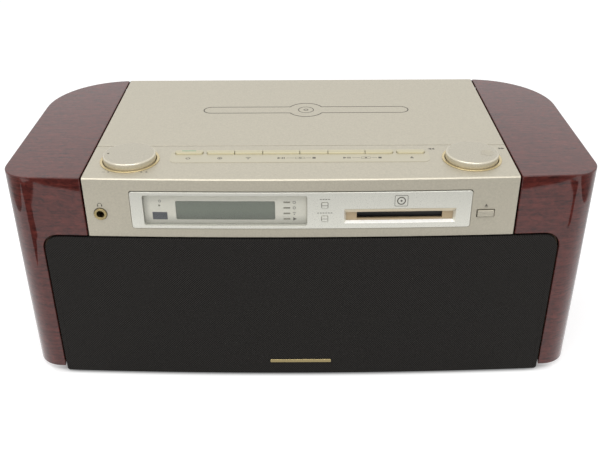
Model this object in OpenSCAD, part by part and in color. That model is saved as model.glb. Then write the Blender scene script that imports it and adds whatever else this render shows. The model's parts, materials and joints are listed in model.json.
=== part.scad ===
// Table-top CD and minidisc system: gloss wood ends, bowed metal control panel,
// hinged lid over the CD well, minidisc slot and a cloth grille over two loudspeakers.
// X runs to the right, Y to the back and Z up; the floor is at Z = 0.

/* [Cabinet] */
// Width over the two wood ends
body_w = 514; // [490:1:560]
// Depth from the front face, at its middle, to the back
body_d = 241.5; // [236:0.5:270]
// Height of the top face above the floor
top_h = 209; // [205:1:240]
// Gap between the wood and the floor
foot_h = 5.5; // [4:0.5:9]
// Width of each wood end
end_w = 70; // [62:1:74]
// Thickness of the wood walls and boards
wall = 12; // [9:0.5:14]
// Thickness of each end's wall towards the drives
inner_wall = 6; // [4:0.5:9]
// Radius of the bowed front
bow_r = 4303; // [3000:1:6000]
// Plan radius of the front corners
front_corner_r = 25; // [18:1:30]
// Plan radius of the rear corners
rear_corner_r = 75; // [60:1:80]
// Shadow gap between metal and wood
seam = 2; // [1:0.25:3]
// Gap between pieces that are fitted together
fit = 0.3; // [0.2:0.05:0.4]
// Radial running clearance of pins and shafts
run_fit = 0.05; // [0.03:0.01:0.08]
// Radius of the feet
foot_r = 10; // [7:0.5:14]

/* [Control panel] */
// Height of the metal front face
panel_h = 56.4; // [54:0.2:62]
// Depth of the top strip, front to lid
strip_d = 68.5; // [67:0.5:76]
// Sheet thickness of the panel
panel_t = 2.5; // [2:0.1:3]
// Bright chamfer along the front top edge
edge_c = 1.2; // [0.5:0.1:1.8]
// Height of the folded rear flange
flange_h = 9; // [7:0.5:11]

/* [Top keys] */
// Middle of the key row, sideways
key_row_x = -0.7; // [-4:0.1:4]
// Middle of the key row, behind the front
key_row_d = 52.8; // [50:0.1:54]
// Gap between the key row and the knob rings
row_gap = 13; // [10:0.1:16]
// How much wider a play key is than a short key
play_extra = 8; // [4:0.1:10]
// Depth of a key
key_d = 6.4; // [5.8:0.1:8]
// Gap between the single keys and the long bar
key_group_gap = 3.2; // [2:0.1:5]
// Height of a key's crown over the panel
key_proud = 2; // [1.4:0.1:2.4]
// Radius across a key's crown
key_crown_r = 16; // [10:1:30]
// Corner radius at a group's ends
key_end_r = 3.4; // [2:0.1:4]
// Travel of a key
key_travel = 1; // [0.6:0.1:1.4]
// How far the cream key plate runs past the keys
plate_margin = 2.8; // [2:0.1:4]
// Depth of the key plate behind the front, first edge
plate_d0 = 33.9; // [30:0.1:40]
// Depth of the key plate behind the front, last edge
plate_d1 = 58; // [57:0.1:60]
// Thickness of the key plate
plate_t = 1; // [0.7:0.1:1.4]

/* [Knobs] */
// Distance of each knob from the panel's end
knob_edge = 34.8; // [32:0.1:37]
// Knob axis behind the front
knob_d = 39.5; // [36:0.5:40]
// Knob radius
knob_r = 23; // [20:0.5:23.5]
// Height of the knob over the panel
knob_h = 6.5; // [5:0.5:12]
// Wall of the knob
knob_wall = 2.8; // [1.5:0.1:3]
// Dark gap between knob and ring
knob_gap = 0.6; // [0.6:0.1:1.4]
// Width of the brass ring's face
ring_w = 2.4; // [1.4:0.1:2.8]
// Height of the brass ring over the panel
ring_h = 0.8; // [0.4:0.1:1.4]
// Radius of the knob shafts
shaft_r = 3; // [2:0.25:3.5]
// Distance of the volume pointer dot from the axis
pointer_d = 18.3; // [15:0.1:19.5]
// Distance of the jog dimple from the axis
dimple_d = 12.7; // [10:0.1:13]
// Radius of the jog dimple
dimple_r = 6.3; // [4:0.1:6.5]

/* [Display] */
// Distance of the bezel from the panel's ends
bezel_edge = 38.9; // [38:0.1:40]
// Top edge of the bezel below the top face
bezel_h0 = 12.2; // [10:0.1:12.5]
// Bottom edge of the bezel below the top face
bezel_h1 = 47.5; // [46.5:0.1:49]
// How far the bezel stands proud
bezel_proud = 0.8; // [0.4:0.1:1.2]
// Thickness of the bezel behind the front face
bezel_back = 3.2; // [2.8:0.1:3.6]
// Distance of the display window from the bezel's left end
window_edge = 10.8; // [9:0.1:16]
// Distance of the display window from the middle of the small keys
window_gap = 15.1; // [13:0.1:18]
// Top edge of the display window
window_h0 = 15.3; // [14.6:0.1:17]
// Bottom edge of the display window
window_h1 = 44.4; // [43:0.1:44.5]
// Distance of the liquid crystal panel from the window's left end
lcd_left = 27.7; // [26:0.1:34]
// Distance of the liquid crystal panel from the window's right end
lcd_right = 27.5; // [23:0.1:30]
// Top edge of the liquid crystal panel
lcd_h0 = 21.9; // [20.5:0.1:23]
// Bottom edge of the liquid crystal panel
lcd_h1 = 40; // [38:0.1:40.5]
// Size of a small square key
square_key_w = 5.1; // [4.6:0.1:6.5]
// Distance of the small keys from the bezel's right end
square_key_edge = 125.6; // [122:0.1:128]
// Height of the display key below the top face
display_key_h = 24.4; // [23:0.1:26]
// Height of the mode key below the top face
mode_key_h = 37.4; // [36:0.1:39]

/* [Minidisc drive] */
// Distance of the slot's middle from the bezel's right end
md_edge = 60.9; // [60:0.1:63]
// Middle of the slot below the top face
md_h = 36.6; // [35.5:0.1:38]
// Width of the slot
slot_w = 74; // [73.5:0.1:76]
// Height of the slot
slot_h = 6.5; // [6.2:0.1:7]
// Half width of the recess round the slot
recess_x = 48.2; // [45.5:0.1:49]
// Top edge of the recess
recess_h0 = 28.2; // [27:0.1:29]
// How far the recess narrows at each end
slot_inset = 2; // [1:0.1:3]
// Lower edge of the sloping lip
lip_h1 = 42.4; // [41.8:0.1:44]
// Length of the cartridge holder
holder_l = 70; // [69:0.5:74]
// Drop of the loaded holder
holder_drop = 4; // [3:0.1:4.5]
// Width of the eject key
eject_w = 14.4; // [13:0.1:17]
// Height of the eject key
eject_h = 6.5; // [6:0.1:8.5]
// Distance of the eject key's middle from the panel's end
eject_edge = 26; // [23:0.1:28]
// Middle of the eject key below the top face
eject_top = 34.6; // [32:0.1:37]
// Gap round the eject key
eject_gap = 0.6; // [0.3:0.1:0.9]
// Travel of the front keys
front_key_travel = 0.8; // [0.5:0.1:1]

/* [Phones jack] */
// Distance of the jack from the panel's end
jack_edge = 12.3; // [10:0.1:15]
// Jack axis below the top face
jack_h = 34; // [30:0.1:38]
// Radius of the brass ring
jack_ring_r = 5.55; // [5.2:0.05:6.5]
// Radius of the plug hole
jack_r = 3.25; // [3.2:0.01:3.3]

/* [Lid] */
// Thickness of the lid's top sheet
lid_t = 3; // [2:0.1:3.2]
// Depth of the lid's lips
lid_lip = 7; // [5:0.25:7.5]
// Opening angle of the lid
lid_angle = 60; // [40:1:62]
// Hinge axis in front of the back face
hinge_back = 8.5; // [8:0.1:10]
// Hinge axis below the top face
hinge_h = 8; // [7.8:0.1:9]
// Radius of the hinge pins
hinge_r = 2.5; // [2:0.1:3]
// Module of the lid gears
gear_m = 1; // [0.9:0.05:1.05]
// Teeth on the full circle of the lid sector
sector_teeth = 52; // [48:1:54]
// Teeth on the lid pinion
pinion_teeth = 12; // [12:1:14]

/* [CD drive] */
// Middle of the disc, sideways
cd_x = 5.3; // [0:0.1:8]
// Middle of the disc behind the front
cd_d = 154.5; // [150:0.1:155]
// Radius of the well that takes the disc
well_r = 64; // [62:0.5:65]
// Floor of the well below the top face
well_h = 20.5; // [20:0.1:22]
// Deck surface below the top face
deck_h = 12; // [11:0.1:12.5]
// Sheet thickness of the deck
deck_t = 2.5; // [2:0.1:3]
// Seat of the disc below the top face
disc_h = 17; // [16.6:0.1:17.2]
// Radius of the hub that centres the disc
hub_r = 7.45; // [7.4:0.01:7.5]
// Radius of the turntable
table_r = 14.5; // [13:0.1:15]
// Radius of the disc clamp
clamp_r = 15; // [13:0.1:16]
// Travel of the pickup sled
sled_travel = 32; // [28:0.5:33]
// Module of the sled rack and gear
rack_m = 0.8; // [0.7:0.05:0.85]
// Teeth on the sled gear
sled_teeth = 14; // [12:1:15]

/* [Grille] */
// Width of the wood beside the grille
grille_side = 30.7; // [30:0.1:37]
// Gap between grille and its surround
grille_gap = 1.9; // [1:0.1:3]
// Height of the grille's lower edge over the floor
grille_z0 = 2.2; // [1.5:0.1:4]
// How far the grille stands proud of the panel
grille_proud = 1.9; // [1:0.1:3]
// Upper corner radius of the grille
grille_r = 12; // [8:0.5:16]
// Thickness of the cloth
cloth_t = 0.8; // [0.6:0.1:1.2]
// Width of the grille frame's border
frame_border = 12; // [9:0.5:14]
// Baffle face behind the front
baffle_d = 10; // [9:0.25:12]

/* [Loudspeakers] */
// Distance of each loudspeaker from the grille's end
speaker_edge = 96.3; // [86:0.1:110]
// Radius of the mounting flange
speaker_r = 52; // [49:0.5:54]
// Radius of the cone with its surround
cone_r = 42; // [38:0.5:43]
// Depth of the cone
cone_depth = 28; // [22:0.5:30]
// Radius of the voice coil
coil_r = 13; // [11:0.5:14]
// Radius of the magnet
magnet_r = 35; // [28:0.5:38]
// Cone travel each way
cone_travel = 2.5; // [1.5:0.1:3]

/* [Rear] */
// Thickness of the rear panel
rear_t = 6; // [5:0.25:7]
// Width of the jack plate
jack_plate_w = 110; // [90:1:120]
// Height of the jack plate
jack_plate_h = 50; // [44:1:56]
// Radius of a line jack's shell
line_jack_r = 4.15; // [4.1:0.01:4.2]
// Width of the mains inlet
inlet_w = 20; // [18:0.5:24]
// Height of the mains inlet
inlet_h = 12; // [11:0.5:14]
// Spacing of the mains pins
inlet_pitch = 8.6; // [8.4:0.1:9]
// Radius of the case screws' shanks
screw_r = 1.5; // [1.2:0.1:1.8]

/* [Hidden] */
$fn = 64;
bow_fn = 1440;
fine_fn = 128;
flank_steps = 5;
pressure_angle = 20;

// Overlap that joins two shapes of one piece, and how far a cut runs past a face
join = 0.5;
past = 1;

// Driving places
front_y = grille_proud / 2 - body_d / 2;
back_y = front_y + body_d;
inner_x = body_w / 2 - end_w;
panel_x = inner_x - seam;
board_x = inner_x - fit;

// Places that keep to the ends of the panel, the bezel and the grille
knob_x = panel_x - knob_edge;
jack_x = panel_x - jack_edge;
eject_x = panel_x - eject_edge;
bezel_x = panel_x - bezel_edge;
md_x = bezel_x - md_edge;
square_key_x = bezel_x - square_key_edge;
window_x0 = -bezel_x + window_edge;
window_x1 = square_key_x - window_gap;
lcd_x0 = window_x0 + lcd_left;
lcd_x1 = window_x1 - lcd_right;
grille_w = body_w - 2 * grille_side;
speaker_x = grille_w / 2 - speaker_edge;
function fy(depth) = front_y + depth;
function tz(below) = top_h - below;
function sag(x) = bow_r - sqrt(bow_r * bow_r - x * x);

// Centres of the plan radii of a wood end
corner_x = body_w / 2 - front_corner_r;
corner_y = fy(bow_r) - sqrt(pow(bow_r - front_corner_r, 2) - corner_x * corner_x);
rear_x = body_w / 2 - rear_corner_r;
rear_y = back_y - rear_corner_r;

// Boards behind the panel
baffle_back = baffle_d + wall;
shelf_h0 = panel_h + 5.6;
shelf_t = 8;
shelf_h1 = shelf_h0 + shelf_t;
notch_x = grille_w / 2 + grille_gap;
notch_r = grille_r + grille_gap;
grille_top = tz(panel_h + grille_gap);
grille_foot_r = 3;
peg_r = 4;
mullion_w = 10;
cloth_gap = 0.1;

// Keys, in a row between the knob rings
ring_r0 = knob_r + knob_gap;
ring_r1 = ring_r0 + ring_w;
row_w = 2 * (knob_x - ring_r1 - row_gap);
key_w = (row_w - 2 * key_group_gap - 2 * play_extra) / 8;
play_w = key_w + play_extra;
plate_w = row_w + 2 * plate_margin;
key_y = fy(key_row_d);
bar_widths = [key_w, key_w, play_w, key_w, play_w, key_w];
function bar_sum(i) = i == 0 ? 0 : bar_widths[i - 1] + bar_sum(i - 1);
bar_w = bar_sum(len(bar_widths));
function bar_edge(i) = key_row_x - bar_w / 2 + bar_sum(i);
power_x0 = bar_edge(0) - key_group_gap - key_w;
open_x0 = bar_edge(len(bar_widths)) + key_group_gap;
last_key = len(bar_widths) + 1;
function key_x0(i) = i == 0 ? power_x0 : i == last_key ? open_x0 : bar_edge(i - 1);
function key_x1(i) = i == 0 ? power_x0 + key_w : i == last_key ? open_x0 + key_w : bar_edge(i);
function key_middle(i) = (key_x0(i) + key_x1(i)) / 2;
key_flange = 0.8;
key_flange_t = 1.2;
key_flange_h = panel_t + fit;
key_split = 0.5;
stem_r = 2;
hole_r = 1;
board_h = 12;
board_t = 1.6;
board_half = knob_x + 15;
switch_w = 6;
switch_t = 2.3;
board_d0 = knob_d - 13;
board_d1 = strip_d - panel_t - 2.5;
post_x = row_w / 2 + 7.3;
post_r = 2.5;
plate_proud = 0.2;
plate_r = 6;
plate_fit = 0.1;

// Knobs
knob_hole_r = ring_r0 + 0.8;
ring_fit = 0.1;
knob_base = 1.5;
knob_edge_r = 1.6;
control_w = 20;
control_top = 5.5;
bush_r = shaft_r + 1.8;
bush_top = 3.2;
knob_hub_r = bush_r + 1.5;
dimple_depth = 2;
pointer_r = 1;
pointer_depth = 0.5;
dimple_angle = -11;

// Display stack, as depths behind the bowed front
bezel_r = 2.2;
lcd_r = 1.2;
bezel_gap = 0.7;
window_d0 = 0.3;
window_d1 = 2.2;
face_d0 = window_d1 + 0.2;
face_d1 = bezel_back + 1.8;
face_rim = 3;
lcd_d0 = face_d0 + 0.3;
lcd_d1 = face_d1 + 3.5;
lcd_post_r = 2;
lcd_post_x = 6;
lcd_post_h = 4;
display_board_d0 = lcd_d1 + 2.5;
display_board_x = square_key_x + 12;
square_key_proud = bezel_proud + 0.6;
square_key_d1 = bezel_back + 1.5;
square_key_lip = 1;
square_key_r = 0.8;
bar_l = 5.6;
bar_edge_gap = 14.6;
bar_x1 = window_x1 - bar_edge_gap;
bar_x0 = bar_x1 - bar_l;
bar_h = 1.2;
bar_top = 23;
bar_pitch = 5.4;
led_x = window_x0 + 13.7;
led_h = 26.4;
led_r = 0.8;
lamp_d0 = face_d0 - 0.1;

// Eject key and phones jack, as depths behind the front
eject_proud = 1.5;
eject_d1 = panel_t + 2;
eject_lip = 1.2;
jack_neck_r = jack_ring_r - 0.5;
jack_seat = sag(jack_x - jack_ring_r) - 0.1;
jack_flange_t = 1;
jack_inside = jack_seat + panel_t + 2;
jack_body_w = 2 * jack_ring_r + 2;
jack_body_l = 26;
jack_bore_l = 24;

// Minidisc drive, as depths behind the front
slot_border = 0.4;
slot_sill = 1.45;
slot_rim_h0 = md_h - slot_h / 2 - slot_border;
slot_rim_h1 = md_h + slot_h / 2 + slot_sill;
guide_d0 = bezel_back + fit;
guide_x = recess_x + 2.5;
guide_h0 = recess_h0 - 2.5;
guide_h1 = lip_h1 + 0.8;
guide_t = 2.4;
guide_back = fy(sag(md_x + guide_x) + guide_d0 + guide_t);
flap_t = 1.2;
flap_pin_r = 0.8;
flap_barrel_r = 1.2;
flap_x = slot_w / 2 + 1.8;
flap_y = guide_back + fit + flap_barrel_r;
flap_z = tz(md_h - slot_h / 2 - 1.8);
flap_l = slot_h + 2.4;
ear_t = 1.6;
ear_r = 2;
ear_x = flap_x + fit;
flap_pin_x = ear_x + ear_t - 0.2;
holder_t = 0.9;
holder_x = slot_w / 2 + 0.4;
holder_z = slot_h / 2 + 0.4;
holder_y0 = flap_y + flap_l + 1.5;
holder_y1 = holder_y0 + holder_l;
holder_pin_r = 1.2;
holder_pin_l = 2.3;
holder_pin_end = 10;
holder_pin_ys = [holder_y0 + holder_pin_end, holder_y1 - holder_pin_end];
md_wall = 1.5;
md_floor_t = 2;
md_side_x = holder_x + 1.5;
md_floor_h = md_h + holder_z + holder_drop + 7.5;
md_y1 = holder_y1 + 12;
md_cy = holder_y0 + holder_l / 2;
md_table_r = 7;
md_table_t = 2;
md_hub_r = 2.4;
md_hub_h = 3.2;
md_motor_r = 9;
md_motor_l = 4;
md_shaft_r = 1;
hatch_x = 11;
hatch_end = 8;
leg_r = 3;
leg_inset = 6;

// Lid and hinge
sector_r = gear_m * sector_teeth / 2;
pinion_r = gear_m * pinion_teeth / 2;
lid_y0 = fy(strip_d + 0.8);
lid_sheet = 2;
lid_lip_inset = 0.5;
hinge_y = back_y - hinge_back;
hinge_z = tz(hinge_h);
rear_top = hinge_h + hinge_back;
seam_tab_h = 0.8;
lid_skirt = hinge_h + 1;
arm_x0 = panel_x - 17;
arm_t = 6;
arm_x1 = arm_x0 + arm_t;
boss_r = hinge_r + 2;
arm_gap = 0.9;
bracket_x0 = arm_x1 + 3;
bracket_x1 = panel_x - lid_sheet - fit - 0.2;
arm_slot_y = hinge_y - sector_r - 14;
liner_t = 3;
liner_h = lid_t + liner_t;
liner_x = arm_x0 - 8;
liner_rim = 3;
liner_brace = 20;
side_lip_y1 = hinge_y - 8;
mesh_angle = 204;
lid_pinion_y = hinge_y + (sector_r + pinion_r) * cos(mesh_angle);
lid_pinion_z = hinge_z + (sector_r + pinion_r) * sin(mesh_angle);
gear_play = 0.12;
motor_shaft_r = 1.5;
lid_motor_r = tz(deck_h + deck_t) - fit - lid_pinion_z;
lid_motor_l = 34;
lid_motor_nose = 8;
lid_motor_x0 = -arm_x0 + arm_gap + fit;
lid_motor_step = 1;
face_play = 0.5;

// Clamp, carried in a cup under the lid
cup_r = clamp_r + 5;
cup_wall = 2;
clamp_flange = 1.8;
clamp_h1 = disc_h - 1.4;
cup_h1 = deck_h + 1;
ledge_t = 1;
clamp_flange_t = 1.5;
clamp_nose = hub_r + 0.6;
hub_tip = disc_h - 2.5;
hub_taper = 1.1;
hub_h = 1.4;

// CD drive below the well
cd_y = fy(cd_d);
well_wall = 2;
well_floor = 2.5;
table_hole_r = table_r + 2.5;
table_t = 2.5;
lens_x = 24;
lens_r = 5;
lens_gap = 1.5;
lens_stop = 0.6;
lens_h = disc_h + 2;
sled_h0 = well_h + well_floor + 2;
sled_h1 = sled_h0 + 8;
chassis_h0 = sled_h1 + 1.2;
chassis_t = 2;
chassis_h1 = chassis_h0 + chassis_t;
sled_x0 = 16;
sled_l = 26;
sled_y = 20;
guide_rod_y = 15;
guide_rod_h = (sled_h0 + sled_h1) / 2;
guide_rod_r = 1.5;
rod_block_x0 = sled_x0 - 5;
rod_block_x1 = sled_x0 + sled_l + sled_travel + 2;
rod_block_t = 3.5;
rod_block_y = 3.5;
rack_half = sled_h1 - guide_rod_h - 1.5;
rack_y = sled_y + 2.5;
rack_pitch_y = cd_y - rack_y - 1.25 * rack_m;
rack_x0 = sled_x0 - 6;
rack_x1 = sled_x0 + sled_travel + 1;
sled_gear_r = rack_m * sled_teeth / 2;
sled_gear_x = cd_x + sled_x0 + sled_l + 3;
sled_gear_y = rack_pitch_y - sled_gear_r;
sled_motor_w = 16;
sled_motor_l = 14;
shaft_end = 3;
chassis_x0 = -40;
chassis_x1 = rod_block_x1 + rod_block_t + 4;
chassis_y0 = rack_y + 2 * sled_gear_r + sled_motor_w / 2;
chassis_y1 = sled_y + 8;
spindle_r = 13;
spindle_l = 10;
spindle_shaft_r = 1.5;
near_post_x = -32;
near_post_y = 22;

// Loudspeakers, as depths behind the front
speaker_z = (grille_top + grille_z0) / 2;
flange_t = 3;
cone_t = 0.8;
basket_t = 2;
speaker_hole_r = cone_r + 4;
cone_d0 = baffle_d - flange_t + 1.5;
cone_d1 = cone_d0 + cone_depth;
basket_d1 = cone_d1 + cone_travel + 4;
magnet_t = 15;
coil_t = 0.7;
coil_l = basket_d1 - cone_d1 + 6;
speaker_screw_r = (speaker_r + speaker_hole_r) / 2;
basket_neck_r = coil_r + 8;
basket_step = 8;
yoke_step = 3;
yoke_t = 4.5;
pole_l = magnet_t + 2;
roll_r = 3;
cap_h = 6;
cap_r = (coil_r * coil_r + cap_h * cap_h) / (2 * cap_h);

// Boards and transformer on the shelf
board_side = 14;
board_w = 111;
board_front = 22;
board_rear = 20;
board_rise = 8;
board_x0 = board_side - panel_x;
board_x1 = min(board_x0 + board_w, -60);
board_y0 = fy(strip_d + board_front);
board_y1 = back_y - rear_t - board_rear;
board_z = tz(shelf_h0) + board_rise;
board_leg = 5;
capacitor_r = 8;
capacitor_h = 18;
capacitor_pitch = 24;
capacitor_inset = [30, 20];
fin_l = 30;
fin_t = 2;
fin_h = 20;
fin_pitch = 8;
fin_count = 5;
fin_inset = [40, 12];
fin_base = 4;
core = [50, 48, 36];
core_tab = 8;
core_tab_t = 2;
coil_size = [36, 68, 24];
coil_z = 6;
transformer_edge = 36;
transformer_back = 55;
transformer_x = panel_x - transformer_edge;
transformer_y = back_y - rear_t - transformer_back;

// Rear
jack_tray_d = 14;
jack_plate_edge = 92;
jack_plate_x = jack_plate_edge - inner_x;
jack_plate_z = (foot_h + tz(shelf_h1)) / 2;
jack_pitch = 20;
jack_columns = [-1.5, -0.5, 0.5, 1.5];
tray_flange = 4;
line_jack_l = 10;
inlet_edge = 67;
inlet_x = inner_x - inlet_edge;
inlet_z = jack_plate_z;
inlet_d = 14;
inlet_wall = 1.5;
mains_pin_r = 1.2;
mains_pin_l = 8;
screw_head_r = 2.1 * screw_r;
screw_head_t = 2;
screw_l = 16;
screw_end = 2;
screw_hole_r = screw_r + 0.15;
screw_inset = 37;
screw_xs = [screw_inset - inner_x, -20, 50, inner_x - screw_inset];
base_screw_z = foot_h + wall / 2;
shelf_screw_z = tz(shelf_h0 + shelf_t / 2);

// Plain shapes

// Box between two corners
module block(low, high) {
  translate(low)
    cube(high - low);
}

// Round bar along X
module rod_x(x0, x1, y, z, r) {
  translate([x0, y, z])
    rotate([0, 90, 0])
      cylinder(r = r, h = x1 - x0);
}

// Box and round bar between two distances from the middle, on one side of it
module side_block(side, x0, x1, y0, y1, z0, z1) {
  block([min(side * x0, side * x1), y0, z0], [max(side * x0, side * x1), y1, z1]);
}
module side_rod(side, x0, x1, y, z, r) {
  rod_x(min(side * x0, side * x1), max(side * x0, side * x1), y, z, r);
}

// Box about a middle in X and Y, standing on a height
module standing(x, y, z, size) {
  translate([x - size[0] / 2, y - size[1] / 2, z])
    cube(size);
}

// Round bar along Y
module rod_y(x, y0, y1, z, r) {
  translate([x, y0, z])
    rotate([-90, 0, 0])
      cylinder(r = r, h = y1 - y0);
}

// Round bar along Z
module rod_z(x, y, z0, z1, r) {
  translate([x, y, z0])
    cylinder(r = r, h = z1 - z0);
}

// Outline drawn in X and Z, given a thickness along Y
module along_y(y0, y1) {
  translate([0, y1, 0])
    rotate([90, 0, 0])
      linear_extrude(y1 - y0)
        children();
}

// Outline drawn in Y and Z, given a thickness along X
module along_x(x0, x1) {
  translate([x0, 0, 0])
    rotate([90, 0, 90])
      linear_extrude(x1 - x0)
        children();
}

// Rectangle with its own radius on the lower and the upper corners
module round_rect(x0, y0, x1, y1, r_low, r_high) {
  translate([x0, y0 + r_low])
    square([x1 - x0, y1 - y0 - r_low - r_high]);
  translate([x0 + r_low, y0])
    square([x1 - x0 - 2 * r_low, r_low]);
  translate([x0 + r_high, y1 - r_high])
    square([x1 - x0 - 2 * r_high, r_high]);
  for (x = [x0 + r_low, x1 - r_low])
    translate([x, y0 + r_low])
      circle(r_low);
  for (x = [x0 + r_high, x1 - r_high])
    translate([x, y1 - r_high])
      circle(r_high);
}

// Everything behind the bowed front at a depth
module behind_bow(depth) {
  translate([0, fy(bow_r), 0])
    cylinder(r = bow_r - depth, h = top_h + knob_h, $fn = bow_fn);
}

// Plate that follows the bow between two depths, its edges given below the top face
module bowed_plate(x0, x1, h0, h1, depth0, depth1, r = 0.2) {
  reach = fy(depth1) + sag(max(abs(x0), abs(x1))) + 1;
  difference() {
    intersection() {
      along_y(fy(depth0) - 1, reach)
        round_rect(x0, tz(h1), x1, tz(h0), r, r);
      behind_bow(depth0);
    }
    behind_bow(depth1);
  }
}

// Points of one involute tooth about the X axis of its own plane
function involute(base, t) = base * sqrt(1 + pow(t * PI / 180, 2));
function involute_turn(t) = t - atan(t * PI / 180);
function tooth(n, m) =
  let (
    pitch = n * m / 2,
    base = pitch * cos(pressure_angle),
    root = pitch - 1.25 * m,
    tip = pitch + m,
    t_tip = sqrt(pow(tip / base, 2) - 1) * 180 / PI,
    t_low = root > base ? sqrt(pow(root / base, 2) - 1) * 180 / PI : 0,
    half = 90 / n + involute_turn(tan(pressure_angle) * 180 / PI)
      - gear_play / pitch * 90 / PI,
    flank = [for (i = [0 : flank_steps])
      let (t = t_low + (t_tip - t_low) * i / flank_steps)
      [involute(base, t), half - involute_turn(t)]],
    foot = [[root, half - involute_turn(t_low)]],
    side = concat(foot, flank)
  )
  concat([for (p = side) [p[0], -p[1]]],
    [for (i = [len(side) - 1 : -1 : 0]) side[i]]);
function gear_points(n, m, first, last) =
  [for (k = [first : last]) for (p = tooth(n, m))
    let (a = p[1] + k * 360 / n) [p[0] * cos(a), p[0] * sin(a)]];

// Whole gear, or a sector that runs to its axis
module gear_2d(n, m) {
  polygon(gear_points(n, m, 0, n - 1));
}
module sector_2d(n, m, first, last) {
  polygon(concat([[0, 0]], gear_points(n, m, first, last)));
}

// Cabinet

// Plan of the right wood end, drawn in from its outside by inset
module end_plan(inset, x_in) {
  x_out = body_w / 2 - inset;
  y_out = back_y - inset;
  touch_x = corner_x * (bow_r - inset) / (bow_r - front_corner_r);
  intersection() {
    translate([0, fy(bow_r)])
      circle(bow_r - inset, $fn = bow_fn);
    union() {
      translate([x_in, front_y])
        square([touch_x - x_in, corner_y - front_y + 1]);
      translate([x_in, corner_y])
        square([x_out - x_in, rear_y - corner_y]);
      translate([corner_x, corner_y])
        circle(front_corner_r - inset, $fn = fine_fn);
      intersection() {
        translate([rear_x, rear_y])
          circle(rear_corner_r - inset, $fn = fine_fn);
        translate([x_in, rear_y - 1])
          square([x_out - x_in, y_out - rear_y + 1]);
      }
    }
  }
}

// Space for the grille and its baffle in the lower front
module grille_notch() {
  along_y(front_y - 1, fy(baffle_back + fit))
    round_rect(-notch_x, foot_h - 2 * grille_foot_r, notch_x, tz(panel_h), grille_foot_r, notch_r);
}

module wood_end() {
  difference() {
    translate([0, 0, foot_h])
      linear_extrude(top_h - foot_h)
        end_plan(0, inner_x);
    translate([0, 0, foot_h + wall])
      linear_extrude(top_h - foot_h - 2 * wall)
        end_plan(wall, inner_x + inner_wall);
    block([inner_x - past, fy(baffle_back), foot_h + wall],
      [inner_x + inner_wall + past, back_y - 2 * wall, tz(shelf_h1)]);
    grille_notch();
  }
}

module left_wood_end() {
  color("#5a2320")
    mirror([1, 0, 0])
      wood_end();
}

module right_wood_end() {
  color("#5a2320")
    wood_end();
}

// Holes for a row of case screws along Y
module screw_row(z, y0, y1, r) {
  for (x = screw_xs)
    rod_y(x, y0, y1, z, r);
}

module base_board() {
  color("#3b2a22")
    difference() {
      block([-board_x, fy(baffle_back + fit), foot_h],
        [board_x, back_y - rear_t - fit, foot_h + wall]);
      screw_row(base_screw_z, back_y - screw_l - screw_end, back_y, screw_hole_r);
    }
}

module chamber_shelf() {
  color("#4a382c")
    difference() {
      block([-board_x, fy(baffle_back + fit), tz(shelf_h1)],
        [board_x, back_y - rear_t - fit, tz(shelf_h0)]);
      screw_row(shelf_screw_z, back_y - screw_l - screw_end, back_y, screw_hole_r);
    }
}

// Loudspeaker positions on the baffle
module at_speaker(side) {
  translate([side * speaker_x, front_y, speaker_z])
    rotate([-90, 0, 0])
      children();
}

module speaker_screw_places() {
  for (turn = [45 : 90 : 315])
    rotate([0, 0, turn])
      translate([speaker_screw_r, 0, 0])
        children();
}

module speaker_baffle() {
  color("#2a2523")
    difference() {
      along_y(fy(baffle_d), fy(baffle_back))
        round_rect(-notch_x + fit, foot_h, notch_x - fit, tz(panel_h) - fit, grille_foot_r,
          notch_r - fit);
      for (side = [-1, 1])
        at_speaker(side) {
          cylinder(r = speaker_hole_r, h = 2 * baffle_back);
          speaker_screw_places()
            cylinder(r = screw_hole_r, h = 2 * baffle_back);
        }
    }
}

// Opening through the rear panel
module rear_opening(x, z, w, h) {
  block([x - w / 2, back_y - rear_t - past, z - h / 2], [x + w / 2, back_y + past, z + h / 2]);
}

// The tabs close the seams beside the lid
module rear_panel() {
  color("#2b2a2a")
    difference() {
      union() {
        block([-board_x, back_y - rear_t, foot_h], [board_x, back_y, tz(rear_top)]);
        for (side = [-1, 1])
          side_block(side, panel_x + fit, board_x, back_y - rear_t, back_y,
            tz(rear_top) - join, tz(seam_tab_h));
      }
      rear_opening(jack_plate_x, jack_plate_z, jack_plate_w + 2 * fit, jack_plate_h + 2 * fit);
      rear_opening(inlet_x, inlet_z, inlet_w + 2 * fit, inlet_h + 2 * fit);
      for (z = [base_screw_z, shelf_screw_z]) {
        screw_row(z, back_y - rear_t - past, back_y + past, screw_hole_r);
        screw_row(z, back_y - screw_head_t - 2 * fit, back_y + past, screw_head_r + fit);
      }
    }
}

// Tray that is open to the back, with a flange behind the rear panel
module rear_tray(x, z, w, h, depth, wall_t) {
  difference() {
    union() {
      block([x - w / 2, back_y - depth, z - h / 2], [x + w / 2, back_y, z + h / 2]);
      block([x - w / 2 - tray_flange, back_y - rear_t - fit - wall_t, z - h / 2 - tray_flange],
        [x + w / 2 + tray_flange, back_y - rear_t - fit, z + h / 2 + tray_flange]);
    }
    block([x - w / 2 + wall_t, back_y - depth + wall_t, z - h / 2 + wall_t],
      [x + w / 2 - wall_t, back_y + past, z + h / 2 - wall_t]);
  }
}

module jack_plate() {
  floor_y = back_y - jack_tray_d + inlet_wall;
  color("#202020") {
    difference() {
      union() {
        rear_tray(jack_plate_x, jack_plate_z, jack_plate_w, jack_plate_h, jack_tray_d, inlet_wall);
        for (col = jack_columns)
          rod_y(jack_plate_x + col * jack_pitch, floor_y - join, floor_y + line_jack_l,
            jack_plate_z, line_jack_r);
      }
      for (col = jack_columns)
        rod_y(jack_plate_x + col * jack_pitch, floor_y + inlet_wall, back_y + past,
          jack_plate_z, line_jack_r / 2);
    }
  }
}

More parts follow.
